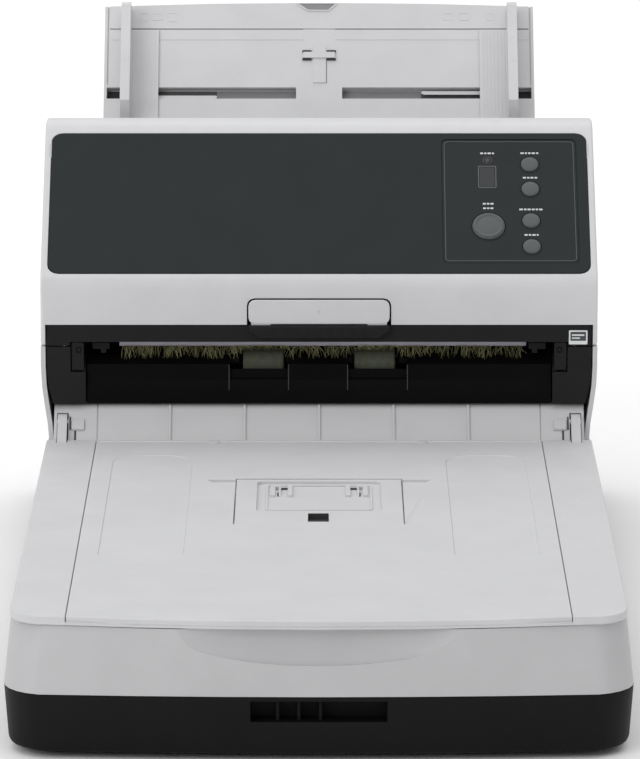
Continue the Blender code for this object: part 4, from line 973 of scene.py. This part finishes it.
class SCANNER_OT_guides(ScannerOperator, bpy.types.Operator):
    """Add the side guides' fine ribs and the bars that show in the chute's slots"""
    bl_idname = "scanner.guides"
    bl_label = "Side guides"

    def execute(self, context):
        count = context.scene.scanner_detail.guide_ribs
        for side, sign in (("left", -1), ("right", 1)):
            body = "guide_" + side
            shape = bmesh.new()
            for rib in range(count):
                x = sign * (91.6 + rib * 12.0 / max(1, count - 1))
                add_block(shape, (x - 0.25, -5, 1.45), (x + 0.25, 52.6, 1.72), CHUTE)
            piece("guide_ribs_" + side, shape, FINISH["chute_plastic"], body)
            shape = bmesh.new()
            low_up, high_up = (12.0, 14.2) if sign < 0 else (14.8, 17.0)
            bar = [(sign * 90, low_up), (sign * 58.5, low_up), (sign * 57.0, low_up + 0.7),
                   (sign * 57.0, high_up - 0.3), (sign * 58.0, high_up), (sign * 90, high_up)]
            add_prism(shape, bar, -2.58, -2.1, CHUTE)
            piece("slot_bar_" + side, shape, FINISH["chute_plastic"], body, 0.1)
            shape = bmesh.new()
            low, high = span(sign, 105.9, 109.5)
            add_prism(shape, rounded((low, 26.0), (high, 29.6), 1.7, 5), 15.2, 15.9, CHUTE)
            piece("fin_dimple_" + side, shape, FINISH["chute_plastic"], body, 0.15)
        return {"FINISHED"}


class SCANNER_OT_extensions(ScannerOperator, bpy.types.Operator):
    """Add thumb ledges along the tops of the chute's extensions"""
    bl_idname = "scanner.extensions"
    bl_label = "Chute extensions"

    def execute(self, context):
        shape = bmesh.new()
        for low, high in ((-54.4, -29.0), (29.0, 54.4)):
            add_prism(shape, rounded((low, 71.9), (high, 73.3), 0.5, 3), -10.3, -6.6, CHUTE)
        piece("extension_ledge", shape, FINISH["light_plastic"], "extension", 0.25)
        shape = bmesh.new()
        add_prism(shape, rounded((-28.0, 72.6), (28.0, 74.2), 0.5, 3), -9.3, -7.5, CHUTE)
        piece("tip_ledge", shape, FINISH["light_plastic"], "extension_tip", 0.25)
        return {"FINISHED"}


class SCANNER_OT_bed(ScannerOperator, bpy.types.Operator):
    """Add the rulers beside the glass and the lamp on the carriage"""
    bl_idname = "scanner.bed"
    bl_label = "Glass bed"

    def execute(self, context):
        shape = bmesh.new()
        for step in range(0, 59):
            long = 3.4 if step % 2 == 0 else 2.0
            add_block(shape, (-112.8 - long, 38 + step * 5, 64.18), (-112.8, 38.25 + step * 5, 64.26))
        for step in range(0, 43):
            long = 3.4 if step % 2 == 0 else 2.0
            x = -105 + step * 5
            add_block(shape, (x, 340.6, 64.18), (x + 0.25, 340.6 + long, 64.26))
        piece("bed_rulers", shape, FINISH["label_ink"], "base")
        shape = bmesh.new()
        add_prism(shape, [(-119.5, 341.5), (-114.0, 341.5), (-119.5, 347.0)], 64.18, 64.28, FLAT)
        piece("bed_corner_mark", shape, FINISH["label_ink"], "base")
        shape = bmesh.new()
        add_block(shape, (-107.4, 52.6, 54.1), (107.4, 56.4, 56.6))
        piece("carriage_lamp", shape, FINISH["lamp_white"], "carriage", 0.8)
        shape = bmesh.new()
        for low, high in ((57.0, 61.6),):
            add_block(shape, (-107.4, low, 54.1), (107.4, high, 54.9))
        piece("carriage_lens", shape, FINISH["lens"], "carriage", 0.2)
        return {"FINISHED"}


class SCANNER_OT_scan_strips(ScannerOperator, bpy.types.Operator):
    """Add the two glass strips that the sheets pass between"""
    bl_idname = "scanner.scan_strips"
    bl_label = "Scan strips"

    def execute(self, context):
        strips = (("lower_scan_strip", "base", (445.2, 111.0), 33, 6.45),
                  ("upper_scan_strip", "top_section", (437.8, 136.5), 36, -5.05))
        for name, body, centre, lean, high in strips:
            slope = math.radians(lean)
            along = Vector((0, math.cos(slope), math.sin(slope)))
            place = surface(at(0, *centre), RIGHT, along)
            shape = bmesh.new()
            add_prism(shape, rounded((-106, -4.0), (106, 4.0), 0.6, 2), high - 0.4, high, place)
            piece(name, shape, FINISH["lens"], body, 0.1)
        return {"FINISHED"}


class SCANNER_OT_rear(ScannerOperator, bpy.types.Operator):
    """Add the data socket, the inlet's pins, screws and a blank plate on the back"""
    bl_idname = "scanner.rear"
    bl_label = "Back"

    def execute(self, context):
        shape = bmesh.new()
        add_ring(shape, rounded((34.2, 98.6), (45.4, 109.4), 0.8, 3),
                 rounded((34.9, 99.3), (44.7, 108.7), 0.6, 3),
                 -7.0, -0.4, facing_rear(BACK_FACE))
        add_block(shape, (34.6, 99.0, -7.4), (45.0, 109.0, -6.6), facing_rear(BACK_FACE))
        piece("data_socket", shape, FINISH["steel"], "base")
        shape = bmesh.new()
        add_block(shape, (37.4, 101.8, -6.8), (42.2, 106.0, -1.6), facing_rear(BACK_FACE))
        piece("data_socket_tongue", shape, FINISH["label"], "base", 0.2)
        shape = bmesh.new()
        for x in (-82.0, -78.0, -74.0):
            add_turned(shape, [(0.75, -11.2), (0.75, -4.4), (0.5, -3.9), (0.0, -3.8)], (-x, 106.0),
                       facing_rear(BACK_FACE), 16)
        piece("inlet_pins", shape, FINISH["steel"], "base")
        radius = context.scene.scanner_detail.screw_radius
        shape = bmesh.new()
        for x, z in ((-130, 148), (130, 148), (-130, 78), (130, 78)):
            centre = (-x, z)
            face = facing_rear(BACK_FACE)
            add_turned(shape, [(radius, -0.3), (radius, 0.5), (radius - 0.5, 1.0), (1.6, 1.15), (1.3, 0.55),
                               (0.0, 0.5)], centre, face, 28)
            add_ring(shape, circle(centre, radius + 1.6, 28), circle(centre, radius + 0.9, 28), -0.1, 0.3,
                     face)
        piece("rear_screws", shape, FINISH["steel"], "base")
        face = facing_rear(BACK_FACE)
        shape = bmesh.new()
        add_prism(shape, rounded((56, 74), (116, 90), 1.2, 4), -0.05, 0.2, face)
        piece("rating_plate", shape, FINISH["label"], "base")
        shape = bmesh.new()
        add_ring(shape, rounded((57.4, 75.4), (114.6, 88.6), 0.8, 4),
                 rounded((57.8, 75.8), (114.2, 88.2), 0.6, 4),
                 0.18, 0.26, face)
        for up in (78.2, 80.8, 83.4, 86.0):
            add_block(shape, (60, up - 0.25, 0.18), (96 if up > 80 else 84, up + 0.25, 0.26), face)
        piece("rating_plate_lines", shape, FINISH["label_ink"], "base")
        shape = bmesh.new()
        for low, high in ((-146.0, -122.9), (122.9, 146.0)):
            add_block(shape, (low, 205.25, 0), (high, 205.6, 0.6), facing_front(549.0))
        piece("rear_lip", shape, FINISH["light_plastic"], "base")
        return {"FINISHED"}


class SCANNER_OT_underside(ScannerOperator, bpy.types.Operator):
    """Add the underside's ribs, screw wells and a blank plate"""
    bl_idname = "scanner.underside"
    bl_label = "Underside"

    def execute(self, context):
        below = surface(at(0, 0, 3.0), RIGHT, -BACK)          # (x, -d), out is down
        shape = bmesh.new()
        for x in (-90, -45, 45, 90):
            add_block(shape, (x - 1, -500, -0.05), (x + 1, -80, 0.6), below)
        for depth in (80, 290, 500):
            add_block(shape, (-110, -depth - 1, -0.05), (110, -depth + 1, 0.6), below)
        piece("pan_ribs", shape, FINISH["pan_plastic"], "base", 0.2)
        shape = bmesh.new()
        for x, depth in ((-105, 60), (105, 60), (-105, 520), (105, 520), (0, 520), (0, 60)):
            add_ring(shape, circle((x, -depth), 5.4, 28), circle((x, -depth), 4.4, 28), -0.05, 0.8, below)
            add_turned(shape, [(2.8, -0.05), (2.8, 0.3), (2.3, 0.6), (1.3, 0.65), (1.1, 0.25), (0.0, 0.2)],
                       (x, -depth), below, 24)
        piece("pan_screws", shape, FINISH["steel"], "base")
        shape = bmesh.new()
        add_prism(shape, rounded((-35, -420), (35, -380), 2, 4), -0.05, 0.15, below)
        piece("pan_plate", shape, FINISH["label"], "base")
        return {"FINISHED"}


def area_light(name, place, target, size, power, colour=(1, 1, 1)):
    data = bpy.data.lights.new(name, "AREA")
    data.shape = "RECTANGLE"
    data.size, data.size_y = size
    data.energy = power
    data.color = colour
    made = bpy.data.objects.new(name, data)
    bpy.context.scene.collection.objects.link(made)
    made.location = place
    made.rotation_euler = (Vector(target) - Vector(place)).to_track_quat("-Z", "Y").to_euler()
    made.visible_camera = False
    return made


class SCANNER_OT_stage(ScannerOperator, bpy.types.Operator):
    """Set a pale floor, soft studio lights and the camera"""
    bl_idname = "scanner.stage"
    bl_label = "Stage"

    def execute(self, context):
        settings = context.scene.scanner_stage
        shape = bmesh.new()
        reach, below = 14.0, -0.0002
        shape.faces.new([shape.verts.new((x * reach, y * reach, below))
                         for x, y in ((-1, -1), (1, -1), (1, 1), (-1, 1))])
        mesh = bpy.data.meshes.new("floor")
        shape.to_mesh(mesh)
        shape.free()
        pale, tree, shader, place = start_material("floor_paper", (0.965, 0.965, 0.965), 0.9)
        shader.inputs["Specular IOR Level"].default_value = 0.1
        tree.links.new(blend_colours(tree, noise(tree, place, 300, 2.0), (0.96, 0.96, 0.96),
                                     (0.97, 0.97, 0.97)), shader.inputs["Base Color"])
        mesh.materials.append(pale)
        floor = bpy.data.objects.new("floor", mesh)
        context.scene.collection.objects.link(floor)
        world = bpy.data.worlds.new("studio")
        world.use_nodes = True
        room = world.node_tree
        backdrop = room.nodes["Background"]
        backdrop.inputs["Strength"].default_value = settings.room_light
        split = room.nodes.new("ShaderNodeSeparateXYZ")
        room.links.new(room.nodes.new("ShaderNodeTexCoord").outputs["Generated"], split.inputs["Vector"])
        height = remap(room, split.outputs["Z"], 0.0, 1.0, (0.05, 0.75))
        room.links.new(blend_colours(room, height, (0.3, 0.3, 0.305), (1, 1, 1)), backdrop.inputs["Color"])
        context.scene.world = world
        area_light("top_light", (-0.3, -0.3, 2.6), (0, 0, 0.1), (3.0, 3.0), settings.top_light)
        area_light("front_light", (-2.3, -2.6, 1.7), (0, 0, 0.14), (2.0, 1.6), settings.front_light)
        area_light("back_light", (0.0, 2.3, 2.4), (0, 1.9, 0), (5.0, 3.0), settings.back_light)
        camera = bpy.data.objects.new("camera", bpy.data.cameras.new("camera"))
        context.scene.collection.objects.link(camera)
        camera.data.lens = settings.lens
        camera.data.clip_start, camera.data.clip_end = 0.1, 40
        camera.location = (0.0005, -settings.distance, settings.height)
        camera.rotation_euler = (math.radians(90) - settings.tilt, 0, 0)
        context.scene.camera = camera
        context.scene.view_settings.view_transform = "Standard"
        return {"FINISHED"}


OPERATORS = (
    SCANNER_OT_mouldings, SCANNER_OT_brush, SCANNER_OT_exit, SCANNER_OT_label, SCANNER_OT_operator_panel,
    SCANNER_OT_lever, SCANNER_OT_apron, SCANNER_OT_cover, SCANNER_OT_pad, SCANNER_OT_stopper,
    SCANNER_OT_chute, SCANNER_OT_chute_back, SCANNER_OT_guides, SCANNER_OT_extensions, SCANNER_OT_bed,
    SCANNER_OT_scan_strips, SCANNER_OT_rear, SCANNER_OT_underside, SCANNER_OT_stage,
)


class SCANNER_PT_sidebar(bpy.types.Panel):
    """Shows the scanner's settings and its operator buttons in the sidebar"""
    bl_idname = "SCANNER_PT_sidebar"
    bl_label = "Scanner"
    bl_space_type = "VIEW_3D"
    bl_region_type = "UI"
    bl_category = "Scanner"

    def draw(self, context):
        scene = context.scene
        for settings in (scene.scanner_finish, scene.scanner_detail, scene.scanner_stage):
            group = self.layout.box()
            for name in settings.__annotations__:
                group.prop(settings, name)
        for operator in OPERATORS:
            self.layout.operator(operator.bl_idname)


SETTINGS = (ScannerFinishSettings, ScannerDetailSettings, ScannerStageSettings)
CLASSES = (*SETTINGS, *OPERATORS, SCANNER_PT_sidebar)


def register():
    for item in CLASSES:
        bpy.utils.register_class(item)
    bpy.types.Scene.scanner_finish = PointerProperty(type=ScannerFinishSettings)
    bpy.types.Scene.scanner_detail = PointerProperty(type=ScannerDetailSettings)
    bpy.types.Scene.scanner_stage = PointerProperty(type=ScannerStageSettings)


def unregister():
    del bpy.types.Scene.scanner_stage, bpy.types.Scene.scanner_detail, bpy.types.Scene.scanner_finish
    for item in reversed(CLASSES):
        bpy.utils.unregister_class(item)


def main():
    register()
    bpy.ops.scanner.mouldings()
    bpy.ops.scanner.brush()
    bpy.ops.scanner.exit()
    bpy.ops.scanner.label()
    bpy.ops.scanner.operator_panel()
    bpy.ops.scanner.lever()
    bpy.ops.scanner.apron()
    bpy.ops.scanner.cover()
    bpy.ops.scanner.pad()
    bpy.ops.scanner.stopper()
    bpy.ops.scanner.chute()
    bpy.ops.scanner.chute_back()
    bpy.ops.scanner.guides()
    bpy.ops.scanner.extensions()
    bpy.ops.scanner.bed()
    bpy.ops.scanner.scan_strips()
    bpy.ops.scanner.rear()
    bpy.ops.scanner.underside()
    bpy.ops.scanner.stage()


if __name__ == "__main__":
    main()
